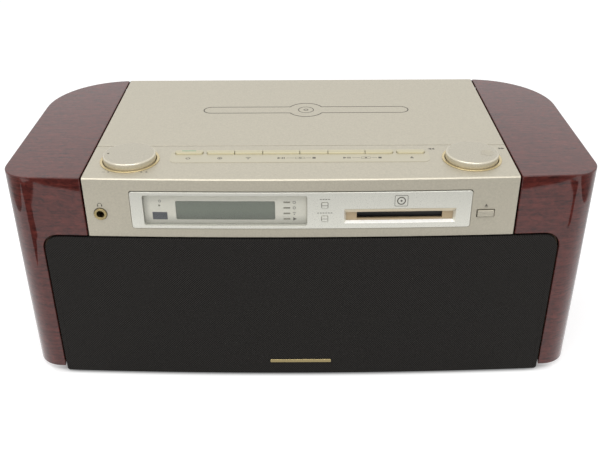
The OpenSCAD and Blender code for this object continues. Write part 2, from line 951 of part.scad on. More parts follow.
module mains_inlet() {
  color("#181818") {
    rear_tray(inlet_x, inlet_z, inlet_w, inlet_h, inlet_d, inlet_wall);
    for (side = [-1, 1])
      rod_y(inlet_x + side * inlet_pitch / 2, back_y - inlet_d,
        back_y - inlet_d + inlet_wall + mains_pin_l, inlet_z, mains_pin_r);
  }
}

module feet() {
  color("#1a1a1a")
    for (x = [-1, 1])
      for (y = [fy(baffle_back + 2 * foot_r), back_y - rear_t - 2 * foot_r])
        rod_z(x * (panel_x - 2 * foot_r), y, 0, foot_h, foot_r);
}

module case_screw(x, z) {
  rod_y(x, back_y - screw_l, back_y - screw_head_t, z, screw_r);
  difference() {
    rod_y(x, back_y - screw_head_t - fit, back_y - fit, z, screw_head_r);
    block([x - screw_r, back_y - fit - screw_head_t / 2, z - fit],
      [x + screw_r, back_y, z + fit]);
    block([x - fit, back_y - fit - screw_head_t / 2, z - screw_r],
      [x + fit, back_y, z + screw_r]);
  }
}

module case_screws() {
  color("#4c4c4e") {
    for (x = screw_xs)
      for (z = [base_screw_z, shelf_screw_z])
        case_screw(x, z);
    for (side = [-1, 1])
      at_speaker(side)
        speaker_screw_places() {
          translate([0, 0, baffle_d - flange_t - screw_head_t])
            cylinder(r = screw_head_r, h = screw_head_t);
          translate([0, 0, baffle_d - flange_t - join])
            cylinder(r = screw_r, h = flange_t + wall);
        }
  }
}

// Control panel

// Outline of a key or of its opening, with round ends where a group ends
module key_plan(x0, x1, grow, left_end = true, right_end = true) {
  y0 = key_y - key_d / 2 - grow;
  run = 2 * key_end_r;
  intersection() {
    translate([x0 - grow, y0])
      square([x1 - x0 + 2 * grow, key_d + 2 * grow]);
    round_rect(x0 - grow - (left_end ? 0 : run), y0, x1 + grow + (right_end ? 0 : run),
      y0 + key_d + 2 * grow, key_end_r + grow, key_end_r + grow);
  }
}

// The three openings that the keys stand in
module key_openings(z0, z1) {
  translate([0, 0, z0])
    linear_extrude(z1 - z0) {
      key_plan(power_x0, power_x0 + key_w, fit);
      key_plan(bar_edge(0), bar_edge(len(bar_widths)), fit);
      key_plan(open_x0, open_x0 + key_w, fit);
    }
}

module plate_plan(grow) {
  round_rect(key_row_x - plate_w / 2 - grow, fy(plate_d0) - grow, key_row_x + plate_w / 2 + grow,
    fy(plate_d1) + grow, plate_r + grow, plate_r + grow);
}

module control_panel() {
  color("#bdb5a3")
    difference() {
      intersection() {
        block([-panel_x, front_y - 1, tz(panel_h)], [panel_x, fy(strip_d), top_h]);
        union() {
          translate([0, fy(bow_r), 0])
            cylinder(r = bow_r, h = tz(edge_c), $fn = bow_fn);
          translate([0, fy(bow_r), tz(edge_c)])
            cylinder(r1 = bow_r, r2 = bow_r - edge_c, h = edge_c, $fn = bow_fn);
        }
      }
      intersection() {
        block([-panel_x - 1, front_y, tz(panel_h) + panel_t],
          [panel_x + 1, fy(strip_d - panel_t), tz(panel_t)]);
        behind_bow(panel_t);
      }
      block([-panel_x - 1, fy(baffle_back), tz(panel_h) - 1],
        [panel_x + 1, fy(strip_d + 1), tz(flange_h)]);
      along_y(front_y - 2, fy(baffle_d))
        round_rect(-bezel_x - fit, tz(bezel_h1) - fit, bezel_x + fit, tz(bezel_h0) + bezel_gap,
          bezel_r, bezel_r);
      along_y(front_y, fy(baffle_d))
        round_rect(eject_x - eject_w / 2 - eject_gap, tz(eject_top + eject_h / 2) - eject_gap,
          eject_x + eject_w / 2 + eject_gap, tz(eject_top - eject_h / 2) + eject_gap, hole_r, hole_r);
      rod_y(-jack_x, front_y, fy(baffle_d), tz(jack_h), jack_neck_r);
      for (side = [-1, 1])
        rod_z(side * knob_x, fy(knob_d), tz(flange_h), top_h + 1, knob_hole_r);
      key_openings(tz(flange_h), top_h + 1);
      translate([0, 0, tz(plate_t - plate_proud)])
        linear_extrude(plate_t + past)
          plate_plan(plate_fit);
    }
}

module key_plate() {
  color("#d3ccb4")
    difference() {
      translate([0, 0, tz(plate_t - plate_proud)])
        linear_extrude(plate_t)
          plate_plan(0);
      key_openings(tz(flange_h), top_h + 1);
    }
}

// Funnel that narrows from the bezel's front to the slot, square to the bow at its middle
function slot_part(depth) = (depth + bezel_proud) / (bezel_back + bezel_proud);
function slot_top(depth) = tz(recess_h0 + (slot_rim_h0 - recess_h0) * slot_part(depth));
function slot_low(depth) = tz(lip_h1 + (slot_rim_h1 - lip_h1) * slot_part(depth));
function slot_side(depth) = recess_x - slot_inset * slot_part(depth);
module slot_funnel() {
  front = -bezel_proud - past;
  back = bezel_back + past;
  translate([md_x, fy(sag(md_x)), 0])
    rotate([0, 0, asin(md_x / bow_r)])
      intersection() {
        along_x(-2 * recess_x, 2 * recess_x)
          polygon([[front, slot_low(front)], [back, slot_low(back)], [back, slot_top(back)],
            [front, slot_top(front)]]);
        translate([0, 0, tz(bezel_h1)])
          linear_extrude(bezel_h1 - bezel_h0)
            polygon([[-slot_side(front), front], [slot_side(front), front], [slot_side(back), back],
              [-slot_side(back), back]]);
      }
}

module display_bezel() {
  color("#d9d9d3")
    difference() {
      bowed_plate(-bezel_x, bezel_x, bezel_h0, bezel_h1, -bezel_proud, bezel_back, bezel_r);
      along_y(front_y - 2, fy(baffle_d))
        round_rect(window_x0, tz(window_h1), window_x1, tz(window_h0), bezel_r, bezel_r);
      for (h = [display_key_h, mode_key_h])
        along_y(front_y - 2, fy(baffle_d))
          round_rect(square_key_x - square_key_w / 2 - fit, tz(h) - square_key_w / 2 - fit,
            square_key_x + square_key_w / 2 + fit, tz(h) + square_key_w / 2 + fit, hole_r, hole_r);
      slot_funnel();
    }
}

module display_window() {
  color("#e8f0f0", 0.35)
    bowed_plate(window_x0 + fit, window_x1 - fit, window_h0 + fit, window_h1 - fit,
      window_d0, window_d1, bezel_r - fit);
}

module lamp_bars(grow, depth0, depth1) {
  for (i = [0 : 3])
    bowed_plate(bar_x0 - grow, bar_x1 + grow, bar_top + i * bar_pitch - bar_h / 2 - grow,
      bar_top + i * bar_pitch + bar_h / 2 + grow, depth0, depth1);
}

module display_face() {
  color("#c9c9c2")
    difference() {
      union() {
        bowed_plate(window_x0 + fit, window_x1 - fit, window_h0 + fit, window_h1 - fit,
          face_d0, face_d1, bezel_r - fit);
        bowed_plate(window_x0 - face_rim, window_x1 + face_rim, window_h0 - face_rim,
          window_h1 + face_rim, bezel_back + fit, face_d1, bezel_r);
      }
      along_y(front_y - 1, fy(baffle_back))
        round_rect(lcd_x0, tz(lcd_h1), lcd_x1, tz(lcd_h0), lcd_r, lcd_r);
      lamp_bars(fit / 2, face_d0 - 1, face_d1 + 1);
      rod_y(led_x, front_y - 1, fy(baffle_back), tz(led_h), led_r + fit / 2);
    }
}

module lcd_module() {
  board_y = fy(display_board_d0);
  color("#7b837b") {
    bowed_plate(lcd_x0 + fit / 2, lcd_x1 - fit / 2, lcd_h0 + fit / 2, lcd_h1 - fit / 2,
      lcd_d0, lcd_d1, lcd_r - fit / 2);
    for (x = [lcd_x0 + lcd_post_x, lcd_x1 - lcd_post_x])
      for (h = [lcd_h0 + lcd_post_h, lcd_h1 - lcd_post_h])
        rod_y(x, fy(lcd_d1 - 2 * join + sag(x)), board_y + join, tz(h), lcd_post_r);
    block([window_x0 - face_rim, board_y, tz(window_h1 + face_rim)],
      [display_board_x, board_y + board_t, tz(window_h0 - face_rim)]);
    for (h = [display_key_h, mode_key_h])
      block([square_key_x - switch_w / 2, board_y - switch_t, tz(h) - switch_w / 2],
        [square_key_x + switch_w / 2, board_y + join, tz(h) + switch_w / 2]);
  }
}

module indicator_lights() {
  color("#55603f") {
    lamp_bars(0, lamp_d0, face_d1 + join);
    rod_y(led_x, fy(lamp_d0 + sag(led_x)), fy(face_d1 + sag(led_x)), tz(led_h), led_r);
  }
}

module phones_jack() {
  z = tz(jack_h);
  half = jack_body_w / 2;
  color("#c9ad6a")
    difference() {
      union() {
        rod_y(-jack_x, fy(jack_seat - jack_flange_t), fy(jack_seat), z, jack_ring_r);
        rod_y(-jack_x, fy(jack_seat - join), fy(jack_inside), z, jack_neck_r - fit);
        block([-jack_x - half, fy(jack_inside - join), z - half],
          [-jack_x + half, fy(jack_inside + jack_body_l), z + half]);
      }
      rod_y(-jack_x, front_y - past, fy(jack_inside + jack_bore_l), z, jack_r);
    }
}

module knob_rings() {
  color("#cdb783")
    for (side = [-1, 1])
      translate([side * knob_x, fy(knob_d), 0])
        difference() {
          union() {
            rod_z(0, 0, top_h, top_h + ring_h, ring_r1);
            rod_z(0, 0, tz(panel_t), top_h + ring_h / 2, knob_hole_r - ring_fit);
          }
          rod_z(0, 0, tz(2 * panel_t), top_h + 2 * ring_h, ring_r0);
        }
}

module rotary_controls() {
  color("#8a8d90")
    for (side = [-1, 1])
      translate([side * knob_x, fy(knob_d), 0])
        difference() {
          union() {
            standing(0, 0, tz(board_h), [control_w, control_w, board_h - control_top]);
            rod_z(0, 0, tz(control_top + join), tz(bush_top), bush_r);
          }
          rod_z(0, 0, tz(board_h - join), top_h, shaft_r + run_fit);
        }
}

module key_board() {
  color("#2f5a3c") {
    block([-board_half, fy(board_d0), tz(board_h + board_t)], [board_half, fy(board_d1), tz(board_h)]);
    for (i = [0 : last_key])
      standing(key_middle(i), key_y, tz(board_h + join), [switch_w, switch_w, switch_t + join]);
    for (side = [-1, 1])
      for (y = [fy(board_d0) + post_r + join, fy(board_d1) - post_r - join])
        rod_z(side * post_x, y, tz(board_h + join), tz(panel_t), post_r);
  }
}

// One key: crowned cap, flange under the panel and a stem over its switch
module top_key(i) {
  left_end = i <= 1 || i == last_key;
  right_end = i == 0 || i >= last_key - 1;
  first = key_x0(i) + (left_end ? 0 : key_split / 2);
  last = key_x1(i) - (right_end ? 0 : key_split / 2);
  floor_h = key_flange_h + key_flange_t;
  stem_z = tz(board_h - switch_t) + key_travel + fit;
  color("#d3ccb4") {
    intersection() {
      translate([0, 0, tz(floor_h)])
        linear_extrude(floor_h + key_proud)
          key_plan(first, last, 0, left_end, right_end);
      rod_x(first, last, key_y, top_h + key_proud - key_crown_r, key_crown_r);
    }
    block([first + key_split, key_y - key_d / 2 - fit - key_flange, tz(floor_h)],
      [last - key_split, key_y + key_d / 2 + fit + key_flange, tz(key_flange_h)]);
    rod_z(key_middle(i), key_y, stem_z, tz(floor_h - join), stem_r);
  }
}

module power_key() { top_key(0); }
module line_key() { top_key(1); }
module radio_key() { top_key(2); }
module cd_play_key() { top_key(3); }
module cd_stop_key() { top_key(4); }
module md_play_key() { top_key(5); }
module md_stop_key() { top_key(6); }
module lid_key() { top_key(7); }

// Small square key in the bezel, with its flange behind the bezel
module square_key(h) {
  stem_y = fy(display_board_d0) - switch_t - front_key_travel - fit;
  half = square_key_w / 2;
  color("#cfcfc9") {
    bowed_plate(square_key_x - half, square_key_x + half, h - half, h + half, -square_key_proud,
      square_key_d1, square_key_r);
    bowed_plate(square_key_x - half - square_key_lip, square_key_x + half + square_key_lip,
      h - half - square_key_lip, h + half + square_key_lip, bezel_back + fit, square_key_d1);
    rod_y(square_key_x, fy(square_key_d1 - join), stem_y, tz(h), half / 2);
  }
}

module display_key() { square_key(display_key_h); }
module mode_key() { square_key(mode_key_h); }

module md_eject_key() {
  half_w = eject_w / 2;
  half_h = eject_h / 2;
  color("#c9c3b4") {
    bowed_plate(eject_x - half_w, eject_x + half_w, eject_top - half_h, eject_top + half_h,
      -eject_proud, eject_d1, square_key_r);
    bowed_plate(eject_x - half_w - eject_lip, eject_x + half_w + eject_lip,
      eject_top - half_h - eject_lip, eject_top + half_h + eject_lip, panel_t + fit, eject_d1);
  }
}

// Knobs: a hollow cap with its shaft
module knob() {
  hollow_r = knob_r - knob_wall;
  roof = knob_h - knob_wall;
  round_x = knob_r - knob_edge_r;
  round_z = knob_h - knob_edge_r;
  translate([0, 0, top_h]) {
    difference() {
      union() {
        rod_z(0, 0, -knob_base, round_z, knob_r);
        rod_z(0, 0, round_z - join, knob_h, round_x);
        translate([0, 0, round_z])
          rotate_extrude($fn = fine_fn)
            translate([round_x, 0])
              intersection() {
                circle(knob_edge_r);
                square(knob_edge_r);
              }
      }
      difference() {
        rod_z(0, 0, -knob_base - past, roof, hollow_r);
        rod_z(0, 0, 0, roof + past, knob_hub_r);
      }
    }
    rod_z(0, 0, -board_h + 2 * join, roof, shaft_r);
  }
}

module volume_knob() {
  color("#c6bfae")
    translate([-knob_x, fy(knob_d), 0])
      difference() {
        knob();
        rod_z(-pointer_d, 0, top_h + knob_h - pointer_depth, top_h + knob_h + past, pointer_r);
      }
}

module jog_knob() {
  ball_r = (dimple_r * dimple_r + dimple_depth * dimple_depth) / (2 * dimple_depth);
  color("#c6bfae")
    translate([knob_x, fy(knob_d), 0])
      difference() {
        knob();
        rotate([0, 0, dimple_angle])
          translate([dimple_d, 0, top_h + knob_h - dimple_depth + ball_r])
            sphere(ball_r);
      }
}

// Minidisc drive

module md_slot_guide() {
  guide_d1 = guide_d0 + guide_t;
  color("#c8b394") {
    difference() {
      bowed_plate(md_x - guide_x, md_x + guide_x, guide_h0, guide_h1, guide_d0, guide_d1, hole_r);
      block([md_x - slot_w / 2, front_y, tz(md_h + slot_h / 2)],
        [md_x + slot_w / 2, guide_back + past, tz(md_h - slot_h / 2)]);
    }
    translate([md_x, 0, 0])
      for (side = [-1, 1])
        difference() {
          side_block(side, ear_x, ear_x + ear_t, fy(sag(md_x + side * flap_x) + guide_d1 - join),
            flap_y + ear_r, flap_z - ear_r, flap_z + ear_r);
          side_rod(side, ear_x - past, ear_x + ear_t + past, flap_y, flap_z, flap_pin_r + run_fit);
        }
  }
}

module md_flap() {
  color("#1c1c1c") {
    rod_x(md_x - flap_x, md_x + flap_x, flap_y, flap_z, flap_barrel_r);
    rod_x(md_x - flap_pin_x, md_x + flap_pin_x, flap_y, flap_z, flap_pin_r);
    block([md_x - flap_x, flap_y - flap_t / 2, flap_z - flap_l],
      [md_x + flap_x, flap_y + flap_t / 2, flap_z]);
  }
}

module md_holder() {
  z = tz(md_h);
  color("#b9bcc0") {
    difference() {
      block([md_x - holder_x, holder_y0, z - holder_z], [md_x + holder_x, holder_y1, z + holder_z]);
      block([md_x - holder_x + holder_t, holder_y0 - past, z - holder_z + holder_t],
        [md_x + holder_x - holder_t, holder_y1 - holder_t, z + holder_z - holder_t]);
      block([md_x - hatch_x, md_cy - hatch_x, z - holder_z - past],
        [md_x + hatch_x, holder_y1 - hatch_end, z]);
    }
    translate([md_x, 0, 0])
      for (side = [-1, 1])
        for (y = holder_pin_ys)
          side_rod(side, holder_x - join, holder_x + holder_pin_l, y, z, holder_pin_r);
  }
}

module md_chassis() {
  floor_z = tz(md_floor_h);
  under = floor_z - md_floor_t;
  track = holder_pin_r + run_fit;
  color("#a7aaad")
    translate([md_x, 0, 0]) {
      difference() {
        block([-md_side_x - md_wall, holder_y0, under], [md_side_x + md_wall, md_y1, floor_z]);
        rod_z(0, md_cy, under - past, floor_z + past, 2 * md_shaft_r);
      }
      for (side = [-1, 1])
        difference() {
          side_block(side, md_side_x, md_side_x + md_wall, holder_y0, md_y1, floor_z - join,
            tz(md_h) + 2 * track + md_wall);
          for (y = holder_pin_ys) {
            side_block(side, md_side_x - past, md_side_x + md_wall + past, y - track, y + track,
              tz(md_h) - holder_drop, tz(md_h));
            for (h = [md_h, md_h + holder_drop])
              side_rod(side, md_side_x - past, md_side_x + md_wall + past, y, tz(h), track);
          }
        }
      for (side = [-1, 1])
        for (y = [holder_y0 + leg_inset, md_y1 - leg_inset])
          rod_z(side * (md_side_x - leg_inset), y, tz(shelf_h0), floor_z - join, leg_r);
      difference() {
        rod_z(0, md_cy, under - md_motor_l, under + join, md_motor_r);
        rod_z(0, md_cy, under - md_motor_l - past, floor_z, md_shaft_r + run_fit);
      }
    }
}

module md_turntable() {
  floor_z = tz(md_floor_h);
  color("#303236") {
    rod_z(md_x, md_cy, floor_z + fit, floor_z + md_table_t, md_table_r);
    rod_z(md_x, md_cy, floor_z + md_table_t - join, floor_z + md_hub_h, md_hub_r);
    rod_z(md_x, md_cy, floor_z - md_floor_t - md_motor_l + join, floor_z + md_table_t, md_shaft_r);
  }
}

// CD drive

module cd_deck() {
  deck_z = tz(deck_h);
  under = deck_z - deck_t;
  floor_z = tz(well_h + well_floor);
  color("#1f1f20")
    difference() {
      union() {
        block([-board_x, fy(strip_d - panel_t), under], [board_x, hinge_y, deck_z]);
        block([-panel_x, fy(strip_d - panel_t), under], [panel_x, fy(strip_d), tz(flange_h)]);
        rod_z(cd_x, cd_y, floor_z, deck_z, well_r + well_wall);
        for (side = [-1, 1]) {
          side_rod(side, bracket_x0, bracket_x1, hinge_y, hinge_z, boss_r);
          side_block(side, bracket_x0, bracket_x1, hinge_y - 2 * boss_r, hinge_y, under, hinge_z);
        }
      }
      rod_z(cd_x, cd_y, tz(well_h), top_h, well_r);
      rod_z(cd_x, cd_y, floor_z - past, top_h, table_hole_r);
      block([cd_x, cd_y - lens_r - lens_gap, floor_z - past],
        [cd_x + lens_x + sled_travel + lens_r + lens_stop, cd_y + lens_r + lens_gap, top_h]);
      for (side = [-1, 1]) {
        side_block(side, arm_x0 - arm_gap, arm_x1 + arm_gap, arm_slot_y, hinge_y + boss_r + past,
          under - past, top_h);
        side_rod(side, bracket_x0 - past, panel_x + past, hinge_y, hinge_z, hinge_r + run_fit);
      }
      block([-arm_x0 + arm_gap, hinge_y - 2 * boss_r, under - past],
        [arm_x0 - arm_gap, hinge_y + boss_r, top_h]);
    }
}

module lid_motor() {
  nose = lid_motor_x0 + lid_motor_nose;
  color("#9a9da0")
    difference() {
      union() {
        rod_x(lid_motor_x0, nose, lid_pinion_y, lid_pinion_z, lid_motor_r);
        rod_x(nose - join, lid_motor_x0 + lid_motor_l, lid_pinion_y, lid_pinion_z,
          lid_motor_r - lid_motor_step);
      }
      rod_x(lid_motor_x0 - past, nose, lid_pinion_y, lid_pinion_z, motor_shaft_r + run_fit);
    }
}

module lid_pinion() {
  color("#d8d5cc") {
    translate([0, lid_pinion_y, lid_pinion_z])
      along_x(-arm_x1 + face_play, -arm_x0 - face_play)
        rotate(mesh_angle + 180 + 180 / pinion_teeth)
          gear_2d(pinion_teeth, gear_m);
    rod_x(-arm_x1 + 2 * face_play, lid_motor_x0 + lid_motor_nose - face_play, lid_pinion_y,
      lid_pinion_z, motor_shaft_r);
  }
}

module cd_chassis() {
  top = tz(chassis_h0);
  under = tz(chassis_h1);
  color("#8f9296")
    translate([cd_x, cd_y, 0]) {
      difference() {
        block([chassis_x0, -chassis_y0, under], [chassis_x1, chassis_y1, top]);
        rod_z(0, 0, under - past, top + past, 2 * spindle_shaft_r);
        rod_z(sled_gear_x - cd_x, sled_gear_y - cd_y, under - past, top + past, 2 * motor_shaft_r);
      }
      for (side = [-1, 1]) {
        for (x = [rod_block_x0, rod_block_x1])
          block([x, side * guide_rod_y - rod_block_y, top - join],
            [x + rod_block_t, side * guide_rod_y + rod_block_y, tz(sled_h0)]);
        rod_x(rod_block_x0 + join, rod_block_x1 + rod_block_t - join, side * guide_rod_y,
          tz(guide_rod_h), guide_rod_r);
        rod_z(near_post_x, side * near_post_y, top - join, tz(well_h + well_floor), leg_r);
      }
      for (y = [leg_r - chassis_y0, chassis_y1 - leg_r])
        rod_z(chassis_x1 - leg_r, y, top - join, tz(deck_h + deck_t), leg_r);
    }
}

module cd_spindle_motor() {
  under = tz(chassis_h1);
  color("#b0b3b6")
    difference() {
      rod_z(cd_x, cd_y, under - spindle_l, under, spindle_r);
      rod_z(cd_x, cd_y, under - spindle_l + 2 * join, under + past, spindle_shaft_r + run_fit);
    }
}

module cd_turntable() {
  seat = tz(disc_h);
  color("#2c2d30")
    translate([cd_x, cd_y, 0]) {
      rod_z(0, 0, seat - table_t, seat, table_r);
      rod_z(0, 0, seat - join, seat + hub_h, hub_r);
      translate([0, 0, seat + hub_h])
        cylinder(r1 = hub_r, r2 = hub_r - hub_taper, h = disc_h - hub_h - hub_tip);
      rod_z(0, 0, tz(chassis_h1 + spindle_l) + 3 * join, seat - table_t + join, spindle_shaft_r);
    }
}

module cd_pickup() {
  color("#3c3f45") {
    translate([cd_x, cd_y, 0]) {
      difference() {
        block([sled_x0, -sled_y, tz(sled_h1)], [sled_x0 + sled_l, sled_y, tz(sled_h0)]);
        for (side = [-1, 1])
          rod_x(sled_x0 - past, sled_x0 + sled_l + past, side * guide_rod_y, tz(guide_rod_h),
            guide_rod_r + run_fit);
      }
      rod_z(lens_x, 0, tz(sled_h0 + join), tz(lens_h), lens_r);
    }
    sled_rack();
  }
}

// Toothed bar on the front side of the sled
module sled_rack() {
  pitch = PI * rack_m;
  lean = tan(pressure_angle);
  half = pitch / 4 - gear_play / 2;
  low = 1.25 * rack_m;
  first = ceil((cd_x + rack_x0 - sled_gear_x) / pitch + 0.5);
  count = floor((rack_x1 - rack_x0 + sled_l - sled_x0) / pitch) - 1;
  translate([0, 0, tz(guide_rod_h) - rack_half])
    linear_extrude(2 * rack_half) {
      translate([cd_x + rack_x0, cd_y - rack_y])
        square([(first + count) * pitch + sled_gear_x - cd_x - rack_x0, rack_y - sled_y - join]);
      translate([cd_x + sled_x0, cd_y - sled_y - 2 * join])
        square([sled_l, 3 * join]);
      for (i = [0 : count - 1])
        translate([sled_gear_x + (first + i) * pitch, rack_pitch_y])
          polygon([[-half - low * lean, low + fit], [-half - low * lean, low],
            [-half + rack_m * lean, -rack_m], [half - rack_m * lean, -rack_m],
            [half + low * lean, low], [half + low * lean, low + fit]]);
    }
}

module sled_gear() {
  color("#e2ded2") {
    translate([sled_gear_x, sled_gear_y, tz(guide_rod_h) - rack_half + fit])
      linear_extrude(2 * rack_half - 2 * fit)
        rotate(90 + 180 / sled_teeth)
          gear_2d(sled_teeth, rack_m);
    rod_z(sled_gear_x, sled_gear_y, tz(chassis_h1 + sled_motor_l - shaft_end), tz(guide_rod_h),
      motor_shaft_r);
  }
}

module cd_sled_motor() {
  color("#b0b3b6")
    difference() {
      rod_z(sled_gear_x, sled_gear_y, tz(chassis_h1 + sled_motor_l), tz(chassis_h1), sled_motor_w / 2);
      rod_z(sled_gear_x, sled_gear_y, tz(chassis_h1 + sled_motor_l - shaft_end + join),
        tz(chassis_h1) + past, motor_shaft_r + run_fit);
    }
}

// Lid

module disc_lid() {
  lip_z = tz(lid_lip);
  color("#c8c1b2") {
    block([-panel_x, lid_y0, tz(lid_t)], [panel_x, back_y, top_h]);
    block([-panel_x, lid_y0, lip_z], [panel_x, lid_y0 + lid_sheet, tz(lid_t / 2)]);
    for (side = [-1, 1])
      side_block(side, panel_x - lid_sheet, panel_x, lid_y0 + lid_lip_inset, side_lip_y1, lip_z,
        tz(lid_t / 2));
    block([-panel_x, back_y - lid_sheet, tz(lid_skirt)], [panel_x, back_y, tz(lid_t / 2)]);
  }
}

module lid_liner() {
  rim_y = lid_y0 + lid_sheet + liner_rim;
  hub_y = hinge_y - 2 * boss_r;
  cup_z = tz(cup_h1);
  tooth_turn = 360 / sector_teeth;
  last_tooth = ceil(lid_angle / tooth_turn);
  color("#242425") {
    difference() {
      union() {
        block([-liner_x, rim_y, tz(liner_h)], [liner_x, hub_y, tz(lid_t)]);
        block([-arm_x1, hub_y - liner_brace, tz(liner_h)], [arm_x1, hub_y, tz(lid_t)]);
        rod_z(cd_x, cd_y, cup_z, tz(liner_h - join), cup_r);
      }
      rod_z(cd_x, cd_y, cup_z + ledge_t, tz(liner_h), cup_r - cup_wall);
      rod_z(cd_x, cd_y, cup_z - past, tz(liner_h), clamp_r + fit);
    }
    for (side = [-1, 1]) {
      side_block(side, arm_x0, arm_x1, hub_y - join, hinge_y + boss_r, hinge_z, tz(lid_t));
      side_rod(side, arm_x0, arm_x1, hinge_y, hinge_z, boss_r);
      side_rod(side, arm_x1 - join, bracket_x1, hinge_y, hinge_z, hinge_r);
    }
    translate([0, hinge_y, hinge_z])
      along_x(-arm_x1, -arm_x0)
        rotate(mesh_angle)
          sector_2d(sector_teeth, gear_m, -1, last_tooth);
  }
}

module disc_clamp() {
  flange_z = tz(cup_h1) + ledge_t + fit;
  color("#3a3b3d")
    difference() {
      union() {
        rod_z(cd_x, cd_y, tz(clamp_h1), flange_z + join, clamp_r);
        rod_z(cd_x, cd_y, flange_z, flange_z + clamp_flange_t, clamp_r + clamp_flange);
      }
      rod_z(cd_x, cd_y, tz(clamp_h1) - past, tz(hub_tip) + fit, clamp_nose);
    }
}

// Boards and transformer

module main_board() {
  fin_x = board_x1 - fin_inset[0];
  fin_y = board_y0 + fin_inset[1];
  color("#2f5a3c") {
    block([board_x0, board_y0, board_z], [board_x1, board_y1, board_z + board_t]);
    for (x = [board_x0 + board_leg, board_x1 - board_leg])
      for (y = [board_y0 + board_leg, board_y1 - board_leg])
        rod_z(x, y, tz(shelf_h0), board_z + join, leg_r);
    for (k = [0 : 2])
      rod_z(board_x0 + capacitor_inset[0], board_y0 + capacitor_inset[1] + capacitor_pitch * k,
        board_z + join, board_z + capacitor_h, capacitor_r);
    block([fin_x, fin_y, board_z + join],
      [fin_x + fin_l, fin_y + fin_pitch * (fin_count - 1) + fin_t, board_z + fin_base]);
    for (k = [0 : fin_count - 1])
      block([fin_x, fin_y + fin_pitch * k, board_z + join],
        [fin_x + fin_l, fin_y + fin_pitch * k + fin_t, board_z + fin_h]);
  }
}

module power_transformer() {
  z = tz(shelf_h0);
  color("#6d6256") {
    standing(transformer_x, transformer_y, z, core);
    standing(transformer_x, transformer_y, z, [core[0] + 2 * core_tab, core[1], core_tab_t]);
    standing(transformer_x, transformer_y, z + coil_z, coil_size);
  }
}

// Grille

// Body of the grille, drawn in from its outside by inset
module grille_solid(inset, y1) {
  intersection() {
    along_y(front_y - 2 * grille_proud, y1)
      round_rect(-grille_w / 2 + inset, grille_z0 + inset, grille_w / 2 - inset, grille_top - inset,
        grille_foot_r - inset, grille_r - inset);
    behind_bow(inset - grille_proud);
  }
}

module grille_cloth() {
  color("#2b2a29")
    difference() {
      grille_solid(0, fy(baffle_d - fit));
      grille_solid(cloth_t, fy(baffle_d));
    }
}

module grille_frame() {
  window = grille_w / 2 - mullion_w / 2 - frame_border;
  back = baffle_d - fit - sag(grille_w / 2);
  color("#1d1d1d") {
    difference() {
      grille_solid(cloth_t + cloth_gap, fy(baffle_d - fit));
      behind_bow(back);
      for (side = [-1, 1])
        side_block(side, mullion_w / 2, mullion_w / 2 + window, front_y - 2 * grille_proud, fy(baffle_d),
          grille_z0 + frame_border, grille_top - frame_border);
    }
    for (x = [-grille_w / 4, 0, grille_w / 4])
      for (z = [grille_z0 + frame_border / 2, grille_top - frame_border / 2])
        rod_y(x, fy(back - 2 * join + sag(x)), fy(baffle_d), max(z, foot_h + peg_r), peg_r);
  }
}

// Loudspeakers

// Ring turned from an outline of radius and depth
module turned(points) {
  rotate_extrude($fn = fine_fn)
    polygon(points);
}

module speaker(side) {
  front = baffle_d - flange_t;
  mouth = cone_r + fit;
  gap = coil_r + fit;
  magnet_d1 = basket_d1 + magnet_t;
  color("#3a3a3c")
    at_speaker(side)
      difference() {
        union() {
          turned([[mouth, front], [speaker_r, front], [speaker_r, baffle_d],
            [mouth + basket_t, baffle_d], [mouth + basket_t, front + basket_step],
            [basket_neck_r + basket_t, basket_d1], [magnet_r, basket_d1], [magnet_r, magnet_d1],
            [gap, magnet_d1], [gap, basket_d1], [basket_neck_r, basket_d1],
            [mouth, front + basket_step]]);
          translate([0, 0, magnet_d1 - join])
            cylinder(r = magnet_r - yoke_step, h = yoke_t + join);
          translate([0, 0, basket_d1 - 2 * join])
            cylinder(r = coil_r - coil_t - fit, h = pole_l);
        }
        speaker_screw_places()
          cylinder(r = screw_hole_r, h = 2 * baffle_back);
      }
}

module left_speaker() { speaker(-1); }
module right_speaker() { speaker(1); }

module cone(side) {
  edge_r = cone_r - 2 * roll_r;
  skin = cone_d0 + cone_t;
  cap_d0 = cone_d1 - cone_t - cap_h;
  color("#18181a")
    at_speaker(side) {
      turned([[cone_r, cone_d0], [cone_r, skin], [edge_r, skin], [coil_r, cone_d1],
        [coil_r, cone_d1 + coil_l], [coil_r - coil_t, cone_d1 + coil_l],
        [coil_r - coil_t, cone_d1 - cone_t], [edge_r - roll_r / 3, cone_d0],
        [edge_r, cone_d0 - roll_r / 3], [cone_r - roll_r, cone_d0 - roll_r],
        [cone_r - roll_r / 3, cone_d0 - roll_r / 3]]);
      intersection() {
        translate([0, 0, cap_d0 + cap_r])
          difference() {
            sphere(cap_r, $fn = fine_fn);
            sphere(cap_r - cone_t, $fn = fine_fn);
          }
        translate([0, 0, cap_d0 - past])
          cylinder(r = coil_r - coil_t / 2, h = cap_h + past + cone_t);
      }
    }
}

module left_cone() { cone(-1); }
module right_cone() { cone(1); }

